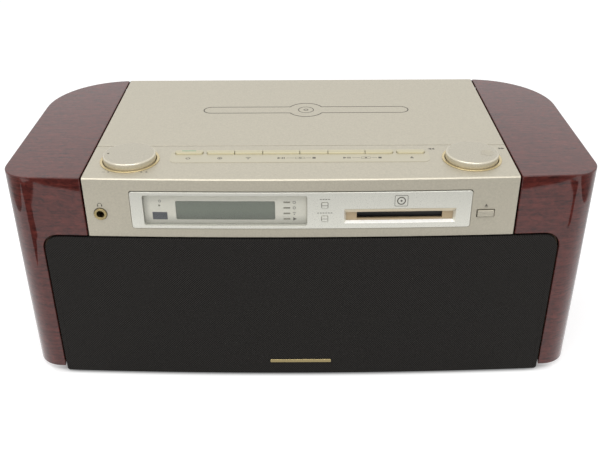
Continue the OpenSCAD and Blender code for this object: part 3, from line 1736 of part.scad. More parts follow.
left_wood_end();
right_wood_end();
base_board();
speaker_baffle();
chamber_shelf();
rear_panel();
jack_plate();
mains_inlet();
control_panel();
key_plate();
display_bezel();
display_window();
display_face();
lcd_module();
indicator_lights();
md_slot_guide();
phones_jack();
knob_rings();
rotary_controls();
key_board();
cd_deck();
lid_motor();
cd_chassis();
cd_spindle_motor();
cd_sled_motor();
md_chassis();
main_board();
power_transformer();
grille_frame();
grille_cloth();
left_speaker();
right_speaker();
left_cone();
right_cone();
feet();
case_screws();
disc_lid();
lid_liner();
lid_pinion();
disc_clamp();
cd_turntable();
cd_pickup();
sled_gear();
md_flap();
md_holder();
md_turntable();
volume_knob();
jog_knob();
power_key();
line_key();
radio_key();
cd_play_key();
cd_stop_key();
md_play_key();
md_stop_key();
lid_key();
display_key();
mode_key();
md_eject_key();
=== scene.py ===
"""Looks of a table-top disc and cartridge system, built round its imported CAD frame."""

import json
import math

import bmesh
import bpy
from bpy.props import FloatProperty, FloatVectorProperty, PointerProperty
from bpy.types import Operator, Panel, PropertyGroup
from mathutils import Matrix, Vector


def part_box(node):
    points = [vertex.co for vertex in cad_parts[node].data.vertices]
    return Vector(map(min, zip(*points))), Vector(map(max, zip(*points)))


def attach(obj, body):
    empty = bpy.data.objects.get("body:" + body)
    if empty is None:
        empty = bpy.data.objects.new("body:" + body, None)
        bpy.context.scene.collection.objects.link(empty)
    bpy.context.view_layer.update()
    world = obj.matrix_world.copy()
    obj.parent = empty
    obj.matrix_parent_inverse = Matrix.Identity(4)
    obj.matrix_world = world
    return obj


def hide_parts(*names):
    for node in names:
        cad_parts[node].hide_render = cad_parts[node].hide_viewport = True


bl_info = {
    "name": "Table-top disc system",
    "version": (1, 0, 0),
    "blender": (4, 5, 0),
    "location": "View3D > Sidebar > Disc system",
    "description": "Dresses the CAD frame of a table-top disc and cartridge system",
    "category": "Object",
}

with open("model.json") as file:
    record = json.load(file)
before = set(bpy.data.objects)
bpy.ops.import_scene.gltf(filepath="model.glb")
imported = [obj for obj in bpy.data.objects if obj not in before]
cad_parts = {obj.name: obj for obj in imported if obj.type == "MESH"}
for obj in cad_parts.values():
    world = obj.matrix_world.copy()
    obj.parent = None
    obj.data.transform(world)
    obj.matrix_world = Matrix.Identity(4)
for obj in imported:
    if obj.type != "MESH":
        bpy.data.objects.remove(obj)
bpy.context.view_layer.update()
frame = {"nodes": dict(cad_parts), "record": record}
BODY_OF = {n: body for body, nodes in frame["record"]["behaviour"]["bodies"].items() for n in nodes}
SLOT_OF = {row["node"]: row["material_slot"] for row in frame["record"]["subparts"]}

MM = 0.001
TOP_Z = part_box("control_panel")[1].z
FRONT_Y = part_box("control_panel")[0].y
BACK_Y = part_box("rear_panel")[1].y
HALF_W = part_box("right_wood_end")[1].x
BOW_R = 4.303
END_FRONT_R = 25.0 * MM
END_REAR_R = 75.0 * MM
KEY_DEPTH = 6.4 * MM
SIDES = {"left": -1, "right": 1}
TOP_KEYS = ("power_key", "line_key", "radio_key", "cd_play_key", "cd_stop_key", "md_play_key",
            "md_stop_key", "lid_key")


def bow_y(x):
    """Y of the bowed front at a place across the width."""
    return FRONT_Y + BOW_R - math.sqrt(BOW_R * BOW_R - x * x)


def middle_of(node):
    """The middle of a CAD node's box at rest."""
    low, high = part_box(node)
    return (low + high) / 2


def length(name, size_mm, text):
    """A length property whose default is given in millimetres."""
    return FloatProperty(name=name, description=text, default=size_mm * MM, min=0.0, precision=5,
                         unit="LENGTH")


def angle(name, degrees, text):
    """An angle property whose default is given in degrees."""
    return FloatProperty(name=name, description=text, default=math.radians(degrees), subtype="ANGLE")


def share(name, value, text):
    """A property from 0 to 1."""
    return FloatProperty(name=name, description=text, default=value, min=0.0, max=1.0, subtype="FACTOR")


def colour(name, red, green, blue, text):
    """A linear colour property."""
    return FloatVectorProperty(name=name, description=text, default=(red, green, blue), min=0.0, max=1.0,
                               size=3, subtype="COLOR")


class WoodFinish(PropertyGroup):
    """Gloss lacquer over figured red wood."""

    dark: colour("Dark grain", 0.026, 0.0040, 0.0040, "Colour of the dark streaks")
    light: colour("Light grain", 0.152, 0.0290, 0.0220, "Colour of the light streaks")
    fleck: colour("Flecks", 0.030, 0.006, 0.006, "Colour of the short dark pores")
    rim: length("Rim radius", 1.0, "Rounding of the top and bottom rims")
    edge: length("Edge radius", 0.8, "Rounding of the other wood edges")
    gloss: share("Lacquer roughness", 0.035, "Roughness of the clear lacquer")


class MetalFinish(PropertyGroup):
    """Champagne sheet metal, silver bezel and brass rings."""

    champagne: colour("Champagne", 0.545, 0.506, 0.410, "Colour of the blasted sheet metal")
    silver: colour("Silver", 0.750, 0.742, 0.665, "Colour of the display bezel")
    brass: colour("Brass", 0.660, 0.545, 0.320, "Colour of the rings round the knobs")
    grain: share("Roughness", 0.42, "Roughness of the blasted sheet metal")
    fold: length("Fold radius", 1.1, "Rounding of the panel's front top edge")
    brim: length("Lid edge radius", 0.3, "Rounding of the lid's front edge")
    cut: length("Cut radius", 0.3, "Rounding of the other sheet-metal edges")
    bezel_edge: length("Bezel edge radius", 0.75, "Rounding of the bezel's outer edge")
    overlap: length("Seam cover", 0.4, "How much closer to the wood the sheet metal looks")


class PlasticFinish(PropertyGroup):
    """Keys, window, display and moulded pieces."""

    cream: colour("Cream", 0.560, 0.512, 0.352, "Colour of the top keys")
    strip: colour("Key strip", 0.548, 0.507, 0.388, "Colour of the strip round the top keys")
    beige: colour("Beige", 0.520, 0.400, 0.250, "Colour of the blocks beside the cartridge slot")
    display: colour("Display", 0.170, 0.190, 0.147, "Colour of the unlit display")
    surround: colour("Display surround", 0.750, 0.730, 0.630, "Colour of the face behind the window")
    black: colour("Black", 0.012, 0.012, 0.013, "Colour of the black mouldings")
    key_edge: length("Key edge radius", 0.45, "Rounding of the keys' edges")
    clear: share("Window cover", 0.05, "How much of the window's clear plastic shows")


class ClothFinish(PropertyGroup):
    """Stretched loudspeaker cloth."""

    thread: colour("Thread", 0.040, 0.0372, 0.0345, "Colour of the threads")
    gap: colour("Gap", 0.006, 0.0055, 0.005, "Colour between the threads")
    pitch: length("Thread pitch", 1.55, "Distance between neighbouring threads")
    roll: length("Rolled edge", 3.5, "Radius of the cloth over the edge of its frame")
    thickness: length("Thickness", 0.5, "Thickness of the cloth")


class PrintFinish(PropertyGroup):
    """Printed marks."""

    ink: colour("Ink", 0.085, 0.078, 0.062, "Colour of the printed marks")
    film: length("Ink film", 0.05, "Thickness of a printed mark")


class StudioSettings(PropertyGroup):
    """Camera, lamps and floor."""

    camera: FloatVectorProperty(name="Camera place", description="Place of the camera in the row frame",
                                default=(0.0015607, -0.7323603, 0.5177346), size=3, subtype="TRANSLATION",
                                unit="LENGTH", precision=5)
    pitch: angle("Pitch", 29.932, "How far the camera looks down")
    yaw: angle("Yaw", 0.2193, "How far the camera looks to the left")
    roll: angle("Roll", 0.3517, "Lean of the camera")
    lens: FloatProperty(name="Lens", description="Focal length in millimetres on a 36 mm sensor",
                        default=49.083, min=1.0)
    dome: FloatProperty(name="Dome light", description="Strength of the soft light from all round",
                        default=0.62, min=0.0)
    lamp: FloatProperty(name="Overhead lamp", description="Power of the soft lamp above, in watts",
                        default=11.0, min=0.0)
    floor: colour("Floor", 0.80, 0.80, 0.80, "Colour of the floor")


class Tone:
    """A shader socket that takes part in Python sums."""

    def __init__(self, paint, socket):
        self.paint = paint
        self.socket = socket

    def sum(self, operation, first, second):
        return self.paint.node("ShaderNodeMath", {"operation": operation}, {0: first, 1: second})

    def __add__(self, other):
        return self.sum("ADD", self, other)

    def __radd__(self, other):
        return self.sum("ADD", other, self)

    def __sub__(self, other):
        return self.sum("SUBTRACT", self, other)

    def __rsub__(self, other):
        return self.sum("SUBTRACT", other, self)

    def __mul__(self, other):
        return self.sum("MULTIPLY", self, other)

    def __rmul__(self, other):
        return self.sum("MULTIPLY", other, self)


class Graph:
    """A node tree whose nodes all come from one method."""

    def __init__(self, tree):
        self.tree = tree

    def node(self, kind, settings=None, inputs=None, output=0):
        """One node: its settings first, then the values or links of its sockets."""
        node = self.tree.nodes.new(kind)
        for key, value in (settings or {}).items():
            if key == "stops":
                ramp = node.color_ramp.elements
                while len(ramp) < len(value):
                    ramp.new(1.0)
                for stop, (place, shade) in zip(ramp, value):
                    stop.position = place
                    stop.color = shade
            else:
                setattr(node, key, value)
        for key, value in (inputs or {}).items():
            if isinstance(value, Tone):
                self.tree.links.new(value.socket, node.inputs[key])
            else:
                node.inputs[key].default_value = value
        return Tone(self, node.outputs[output])

    def blend(self, factor, first, second):
        """One shader over another."""
        return self.node("ShaderNodeMixShader", None, {0: factor, 1: first, 2: second})

    def ray(self, kind):
        """1 for rays of one kind."""
        return self.node("ShaderNodeLightPath", output=f"Is {kind} Ray")

    def between(self, value, low, high, to_low=0.0, to_high=1.0):
        """A value clamped between two limits and moved to two others."""
        return self.node("ShaderNodeMapRange", {"clamp": True},
                         {0: value, 1: low, 2: high, 3: to_low, 4: to_high})

    def place(self):
        """Object coordinates, in metres."""
        return self.node("ShaderNodeTexCoord", output="Object")

    def axes(self, place):
        """The three parts of a place."""
        return [self.node("ShaderNodeSeparateXYZ", None, {0: place}, axis) for axis in range(3)]

    def show(self, end, tone):
        self.tree.links.new(tone.socket, self.tree.nodes[end].inputs["Surface"])


class Paint(Graph):
    """A node material: its constants are set on the shader, what varies is fed to it."""

    def __init__(self, name, **constants):
        self.material = bpy.data.materials.new(name)
        self.material.use_nodes = True
        super().__init__(self.material.node_tree)
        self.shader = self.tree.nodes["Principled BSDF"]
        for socket, value in constants.items():
            self.shader.inputs[socket.replace("_", " ")].default_value = value

    def feed(self, socket, tone):
        self.tree.links.new(tone.socket, self.shader.inputs[socket])

    def stretched(self, place, scale):
        """A place with each axis scaled, so that noise runs long along the small numbers."""
        return self.node("ShaderNodeMapping", {"vector_type": "POINT"}, {"Vector": place, "Scale": scale})

    def noise(self, place, scale=1.0, detail=2.0, rough=0.5, warp=0.0):
        return self.node("ShaderNodeTexNoise", {"noise_dimensions": "3D"},
                         {"Vector": place, "Scale": scale, "Detail": detail, "Roughness": rough,
                          "Distortion": warp})

    def mix(self, factor, first, second):
        """A colour between two others."""
        pair = {6: first, 7: second}
        for key, value in pair.items():
            if not isinstance(value, Tone):
                pair[key] = (*value[:3], 1.0)
        return self.node("ShaderNodeMix", {"data_type": "RGBA"}, {0: factor, **pair}, output=2)

    def bump(self, height, distance, strength=1.0):
        self.feed("Normal", self.node("ShaderNodeBump", None, {
            "Height": height, "Distance": distance, "Strength": strength}))


def shade(tint, factor):
    """A colour made darker or lighter."""
    return tuple(min(1.0, part * factor) for part in tint[:3])


def with_painted_light(paint, place, tint, tone):
    """A colour scaled by painted light or shade that varies over the object."""
    if tone is None:
        return tint
    return paint.node("ShaderNodeVectorMath", {"operation": "SCALE"},
                      {0: tint, "Scale": tone(paint, *paint.axes(place))})


def moulded(name, tint, rough, metal=0.0, spread=0.10, grain=900.0, depth=0.00002, coat=0.0, tone=None):
    """A finish with faint clouding in its colour, uneven gloss and a fine surface grain; a tone, where
    given, is painted light.
    """
    paint = Paint(name, Metallic=metal, Coat_Weight=coat, Coat_Roughness=0.05)
    place = paint.place()
    cloud = paint.noise(place, 24.0, 3.0)
    speck = paint.noise(place, grain, 2.0)
    clouded = paint.mix(paint.between(0.6 * cloud + 0.4 * speck, 0.3, 0.7), shade(tint, 1 - spread),
                        shade(tint, 1 + spread))
    paint.feed("Base Color", with_painted_light(paint, place, clouded, tone))
    paint.feed("Roughness", paint.between(speck, 0.2, 0.8, rough * 0.85, min(1.0, rough * 1.15)))
    paint.bump(speck, depth, 0.6)
    return paint.material


def lacquered_wood(finish):
    """Dark red figured wood under clear gloss lacquer; the grain map runs along the surface."""
    paint = Paint("gloss_lacquer", Roughness=0.38, Coat_Weight=1.0, Coat_Roughness=finish.gloss,
                  Coat_IOR=1.42, Specular_IOR_Level=0.04)
    grain = paint.node("ShaderNodeUVMap", {"uv_map": "grain"})
    drift = paint.noise(paint.stretched(grain, (9.0, 22.0, 1.0)), 1.0, 3.0)
    wave = paint.node("ShaderNodeVectorMath", {"operation": "ADD"}, {
        0: grain, 1: paint.node("ShaderNodeCombineXYZ", None, {"Y": 0.016 * drift})})
    streak = paint.noise(paint.stretched(wave, (36.0, 420.0, 1.0)), 1.0, 4.0, 0.6, 0.6)
    mottle = paint.noise(paint.stretched(wave, (140.0, 260.0, 1.0)), 1.0, 3.0, 0.55, 1.2)
    fleck = paint.noise(paint.stretched(wave, (260.0, 1000.0, 1.0)), 1.0, 2.0, 0.5, 0.3)
    tone = paint.between(0.5 * streak + 0.5 * mottle, 0.33, 0.67)
    figure = paint.mix(tone, finish.dark, finish.light)
    pores = paint.between(fleck, 0.55, 0.70, 0.0, 0.5)
    paint.feed("Base Color", paint.mix(pores, figure, finish.fleck))
    ripple = paint.noise(paint.stretched(grain, (14.0, 14.0, 1.0)), 1.0, 2.0)
    paint.bump(ripple, 0.00006, 0.35)
    return paint.material


def blasted_metal(name, tint, rough, metal, sparkle=0.13, tone=None):
    """Anodised sheet with the fine even grain of blasting, and painted light or shade that may vary over it.
    """
    paint = Paint(name, Metallic=metal, Specular_IOR_Level=0.5)
    place = paint.place()
    grit = paint.noise(place, 2400.0, 2.0, 0.6)
    cloud = paint.noise(place, 620.0, 3.0, 0.7)
    sheet = paint.mix(paint.between(0.5 * grit + 0.5 * cloud, 0.32, 0.68),
                      shade(tint, 1 - sparkle), shade(tint, 1 + sparkle))
    paint.feed("Base Color", with_painted_light(paint, place, sheet, tone))
    paint.feed("Roughness", paint.between(grit, 0.25, 0.75, rough - 0.06, rough + 0.08))
    paint.bump(grit, 0.00002, 0.5)
    return paint.material


def painted_bezel_shade(node):
    """Painted shade for the bezel: its colour is painted darker towards its top edge."""
    low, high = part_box(node)
    return lambda paint, across, back, up: paint.between(up, low.z, high.z, 1.05, 0.85)


def painted_panel_light(paint, across, back, up):
    """Painted light on the control panel: painted shade on its front face, most so to the right, and a
    painted highlight along its front fold.
    """
    reach = 180.0 * MM
    # painted light laid by place: a highlight on the fold near the front edge, shade on the front face below
    # it
    front = paint.between(back, FRONT_Y + 6.0 * MM, FRONT_Y + 9.0 * MM, 1.0, 0.0)
    fold = (paint.between(up, TOP_Z - 1.5 * MM, TOP_Z - 1.1 * MM)
            * paint.between(up, TOP_Z - 0.25 * MM, TOP_Z - 0.05 * MM, 1.0, 0.0))
    face = paint.between(up, TOP_Z - 1.6 * MM, TOP_Z - 1.2 * MM, 1.0, 0.0)
    return 1.0 + 0.15 * front * fold - face * paint.between(across, -reach, reach, 0.06, 0.13)


def painted_key_front_light(paint, across, back, up):
    """Painted light on the top keys: their front faces are painted lighter than their shade would leave
    them.
    """
    front = middle_of("power_key").y - KEY_DEPTH / 2
    return paint.between(back, front + 0.1 * MM, front + 0.6 * MM, 1.35, 1.0)


def painted_knob_highlight(node):
    """Painted highlight for a knob: its side is painted brighter than its top, and its rounded edge brighter
    still.
    """
    x, y, _ = middle_of(node)
    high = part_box(node)[1]
    radius = high.x - x
    round_z = high.z - 1.6 * MM

    def tone(paint, across, back, up):
        out = paint.node("ShaderNodeMath", {"operation": "SQRT"}, {
            0: (across - x) * (across - x) + (back - y) * (back - y)})
        # painted highlight: a band round the knob's side and rounded edge
        edge = paint.between(out, radius - 1.5 * MM, radius - 0.9 * MM)
        return 1.0 + edge * paint.between(up, round_z, round_z + 0.4 * MM, 0.22, 0.34)

    return tone


def woven_cloth(finish):
    """Fine diagonal weave, dark between the threads."""
    paint = Paint("speaker_cloth", Roughness=0.85, Sheen_Weight=0.02, Sheen_Roughness=0.5,
                  Specular_IOR_Level=0.10)
    place = paint.place()
    across, back, up = paint.axes(place)
    turns = 2 * math.pi / (finish.pitch * math.sqrt(2))
    one = paint.node("ShaderNodeMath", {"operation": "SINE"}, {0: (across + up + 2.0 * back) * turns})
    two = paint.node("ShaderNodeMath", {"operation": "SINE"}, {0: (across - up) * turns})
    weave = 0.5 + 0.25 * (one + two)
    fuzz = paint.noise(place, 1100.0, 2.0, 0.6)
    paint.feed("Base Color", paint.mix(paint.between(0.6 * weave + 0.4 * fuzz, 0.34, 0.66), finish.gap,
                                       finish.thread))
    paint.bump(weave + 0.3 * fuzz, 0.00025, 0.8)
    return paint.material


def face_with_painted_shade(name, tint, rough, inset, painted_shade_depths):
    """A flat face behind the window, with painted shade darkening it towards its left and its lower edge
    inside the display face.
    """
    paint = Paint(name, Roughness=rough)
    place = paint.place()
    across, _, up = paint.axes(place)
    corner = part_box("display_face")[0]
    left, low = corner.x + inset[0] * MM, corner.z + inset[1] * MM
    # painted shade along the window's left and lower edges
    light = (paint.between(across, left, left + 6.0 * MM, painted_shade_depths[0], 1.0)
             * paint.between(up, low, low + 9.0 * MM, painted_shade_depths[1], 1.0))
    cloud = paint.between(paint.noise(place, 300.0, 2.0), 0.3, 0.7)
    clouded = paint.mix(cloud, shade(tint, 0.98), shade(tint, 1.02))
    paint.feed("Base Color", paint.mix(light, (0.0, 0.0, 0.0), clouded))
    return paint.material


def clear_plastic(finish):
    """Thin clear plastic with faint scuffs in its gloss."""
    paint = Paint("clear_plastic", Base_Color=(0.55, 0.58, 0.56, 1.0), Alpha=finish.clear)
    scuff = paint.noise(paint.place(), 140.0, 3.0)
    paint.feed("Roughness", paint.between(scuff, 0.3, 0.7, 0.03, 0.09))
    return paint.material


def glowing(name, tint, strength):
    """An emitting finish: a small lamp lens, a light card, or a painted glow on a part that is no lamp."""
    paint = Paint(name, Roughness=0.25, Emission_Strength=strength)
    haze = paint.noise(paint.place(), 700.0, 2.0)
    lit = paint.mix(paint.between(haze, 0.3, 0.7), shade(tint, 0.85), tint)
    paint.feed("Base Color", lit)
    paint.feed("Emission Color", lit)
    return paint.material


def finishes(context):
    """Every finish by the record's slot, made once."""
    scene = context.scene
    metal, plastic = scene.metal_finish, scene.plastic_finish
    if not any("finish_of" in m for m in bpy.data.materials):
        black = tuple(plastic.black)
        made = {
            "lacquered_wood": lacquered_wood(scene.wood_finish),
            "board": moulded("fibreboard", (0.115, 0.075, 0.045), 0.8, 0.0, 0.22, 500.0, 0.0001),
            # champagne sheet, with painted shade on front faces and a painted highlight along the panel's
            # front fold
            "champagne_metal": blasted_metal("champagne_sheet", tuple(metal.champagne), metal.grain, 0.55,
                                             tone=painted_panel_light),
            # silver bezel, with painted shade darkening it towards its top edge
            "pale_silver": blasted_metal("silver_sheet", tuple(metal.silver), 0.30, 0.45, 0.02,
                                         painted_bezel_shade("display_bezel")),
            # cream keys, with their front faces painted lighter
            "cream_plastic": moulded("cream_moulding", tuple(plastic.cream), 0.34, 0.0, 0.03, tone=painted_key_front_light),
            "clear_window": clear_plastic(plastic),
            # the unlit display, with painted shade towards its left and lower edge
            "lcd_glass": face_with_painted_shade("unlit_display", tuple(plastic.display), 0.22,
                                     (30.7, 7.4), (0.9, 0.72)),
            "beige_plastic": moulded("beige_moulding", tuple(plastic.beige), 0.42, 0.0, 0.05),
            "brass": moulded("brass_turning", tuple(metal.brass), 0.24, 0.9, 0.06, 1500.0, 0.00001),
            "black_plastic": moulded("black_moulding", black, 0.48, 0.0, 0.25, 1100.0, 0.00005),
            "steel": moulded("plated_steel", (0.46, 0.46, 0.45), 0.34, 0.9, 0.08, 700.0, 0.00002),
            "circuit_board": moulded("green_board", (0.02, 0.075, 0.032), 0.4, 0.0, 0.15, 260.0, 0.00003),
            "grille_cloth": woven_cloth(scene.cloth_finish),
            "speaker_cone": moulded("paper_cone", (0.020, 0.020, 0.021), 0.8, 0.0, 0.3, 600.0, 0.0001),
            "rubber": moulded("foot_rubber", (0.016, 0.016, 0.016), 0.75, 0.0, 0.2, 800.0, 0.00006),
            "lamp": moulded("lamp_lens", (0.260, 0.250, 0.190), 0.25, 0.0, 0.05),
            "white_gear": moulded("gear_plastic", (0.66, 0.63, 0.56), 0.45, 0.0, 0.04),
            "key_strip": moulded("key_strip", tuple(plastic.strip), 0.36, 0.0, 0.03),
            # the face behind the window, with painted shade towards its left and lower edge
            "display_surround": face_with_painted_shade("display_surround", tuple(plastic.surround), 0.4,
                                            (3.0, 3.0), (0.62, 0.52)),
            # knob metal, with a painted highlight on its side and rounded edge
            **{f"{name}_metal": blasted_metal(f"{name}_metal", shade(metal.champagne, 0.94), 0.26, 0.6,
                                              0.05, painted_knob_highlight(f"{name}_knob")) for name in ("volume", "jog")},
            # the slot's lower lip glows a little: a painted highlight, not a lamp
            "slot_lip": glowing("slot_lip", (0.97, 0.97, 0.94), 0.20),
            "slot_roof": moulded("slot_roof", (0.80, 0.71, 0.54), 0.4, 0.0, 0.02),
            "dull_brass": moulded("dull_brass", (0.400, 0.320, 0.160), 0.25, 0.9, 0.06, 1500.0, 0.00001),
            "ink": moulded("printed_ink", tuple(scene.print_finish.ink), 0.6, 0.0, 0.12, 1500.0, 0.000005),
            "dark_filter": moulded("dark_filter", (0.060, 0.064, 0.076), 0.18, 0.0, 0.06),
            "green_lamp": glowing("green_lamp", (0.13, 0.34, 0.19), 0.2),
            "red_collar": moulded("red_collar", (0.42, 0.020, 0.018), 0.4),
            "white_collar": moulded("white_collar", (0.72, 0.71, 0.68), 0.4),
        }
        for slot, material in made.items():
            material["finish_of"] = slot
    return {m["finish_of"]: m for m in bpy.data.materials if "finish_of" in m}


def mesh_object(name, bm, material):
    """An object at the origin, with its place in its mesh."""
    mesh = bpy.data.meshes.new(name)
    bm.to_mesh(mesh)
    bm.free()
    mesh.materials.clear()
    mesh.materials.append(material)
    obj = bpy.data.objects.new(name, mesh)
    bpy.context.scene.collection.objects.link(obj)
    return obj


def piece(name, bm, material, body, slot, replaced=()):
    """A finished object that moves with a CAD body and takes the place of CAD nodes."""
    obj = mesh_object(name, bm, material)
    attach(obj, body)
    if replaced:
        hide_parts(*replaced)
    return obj


def node_shape(node):
    """An edited copy starts here: the node's triangles merged into clean faces."""
    mesh = frame["nodes"][node].data.copy()
    if "custom_normal" in mesh.attributes:
        mesh.attributes.remove(mesh.attributes["custom_normal"])
    bm = bmesh.new()
    bm.from_mesh(mesh)
    bpy.data.meshes.remove(mesh)
    bmesh.ops.remove_doubles(bm, verts=bm.verts, dist=1e-6)
    bmesh.ops.dissolve_limit(bm, angle_limit=math.radians(0.3), verts=bm.verts, edges=bm.edges)
    return bm


def bevel(bm, geom, radius, segments, affect):
    """Rounds the given edges, or the corners of flat faces."""
    bmesh.ops.bevel(bm, geom=geom, offset=radius, offset_type="OFFSET", segments=segments, profile=0.5,
                    affect=affect, clamp_overlap=False, material=-1)


def round_off(bm, radius, chosen=None, segments=2):
    """Rounds the outward edges that are sharper than 40 degrees."""
    sharp = math.radians(40.0)
    edges = [e for e in bm.edges if e.is_manifold and e.calc_face_angle_signed(0.0) > sharp
             and (chosen is None or chosen(e))]
    if edges:
        bevel(bm, edges, radius, segments, "EDGES")


def smooth(obj, angle=30.0):
    """Smooth faces with crisp edges, shaded by the larger faces."""
    obj.data.shade_smooth()
    obj.data.set_sharp_from_angle(angle=math.radians(angle))
    normals = obj.modifiers.new("even_normals", "WEIGHTED_NORMAL")
    normals.keep_sharp = True
    return obj


def rounded_node(context, node, name, radius, segments=2):
    """A CAD node's shape with its edges rounded, in its slot's finish."""
    bm = node_shape(node)
    round_off(bm, radius, None, segments)
    slot = SLOT_OF[node]
    return smooth(piece(name, bm, finishes(context)[slot], BODY_OF[node], slot, (node,)))


def spun(path, middle, axis, steps, closed):
    """A profile of distances out from an axis and along it, in millimetres, turned right round."""
    bm = bmesh.new()
    verts = [bm.verts.new(middle + Vector((out * MM, 0.0, 0.0)) + along * MM * axis) for out, along in path]
    ends = verts[1:] + verts[:1] if closed else verts[1:]
    edges = [bm.edges.new(pair) for pair in zip(verts, ends)]
    bmesh.ops.spin(bm, geom=verts + edges, cent=middle, axis=axis, angle=2 * math.pi, steps=steps,
                   use_merge=True)
    bmesh.ops.remove_doubles(bm, verts=bm.verts, dist=1e-7)
    bmesh.ops.recalc_face_normals(bm, faces=bm.faces)
    return bm


def along_end(x, y):
    """Distance round the outside of a wood end, from the middle of the front."""
    across = abs(x)
    front_x, rear_x = HALF_W - END_FRONT_R, HALF_W - END_REAR_R
    front_y, rear_y = bow_y(front_x) + END_FRONT_R, BACK_Y - END_REAR_R
    quarter = math.pi / 2
    if y < front_y:
        if across < front_x:
            return across
        return front_x + END_FRONT_R * math.atan2(across - front_x, front_y - y)
    side = front_x + END_FRONT_R * quarter
    if y < rear_y:
        return side + y - front_y
    corner = side + rear_y - front_y
    if across > rear_x:
        return corner + END_REAR_R * math.atan2(y - rear_y, across - rear_x)
    return corner + END_REAR_R * quarter + rear_x - across


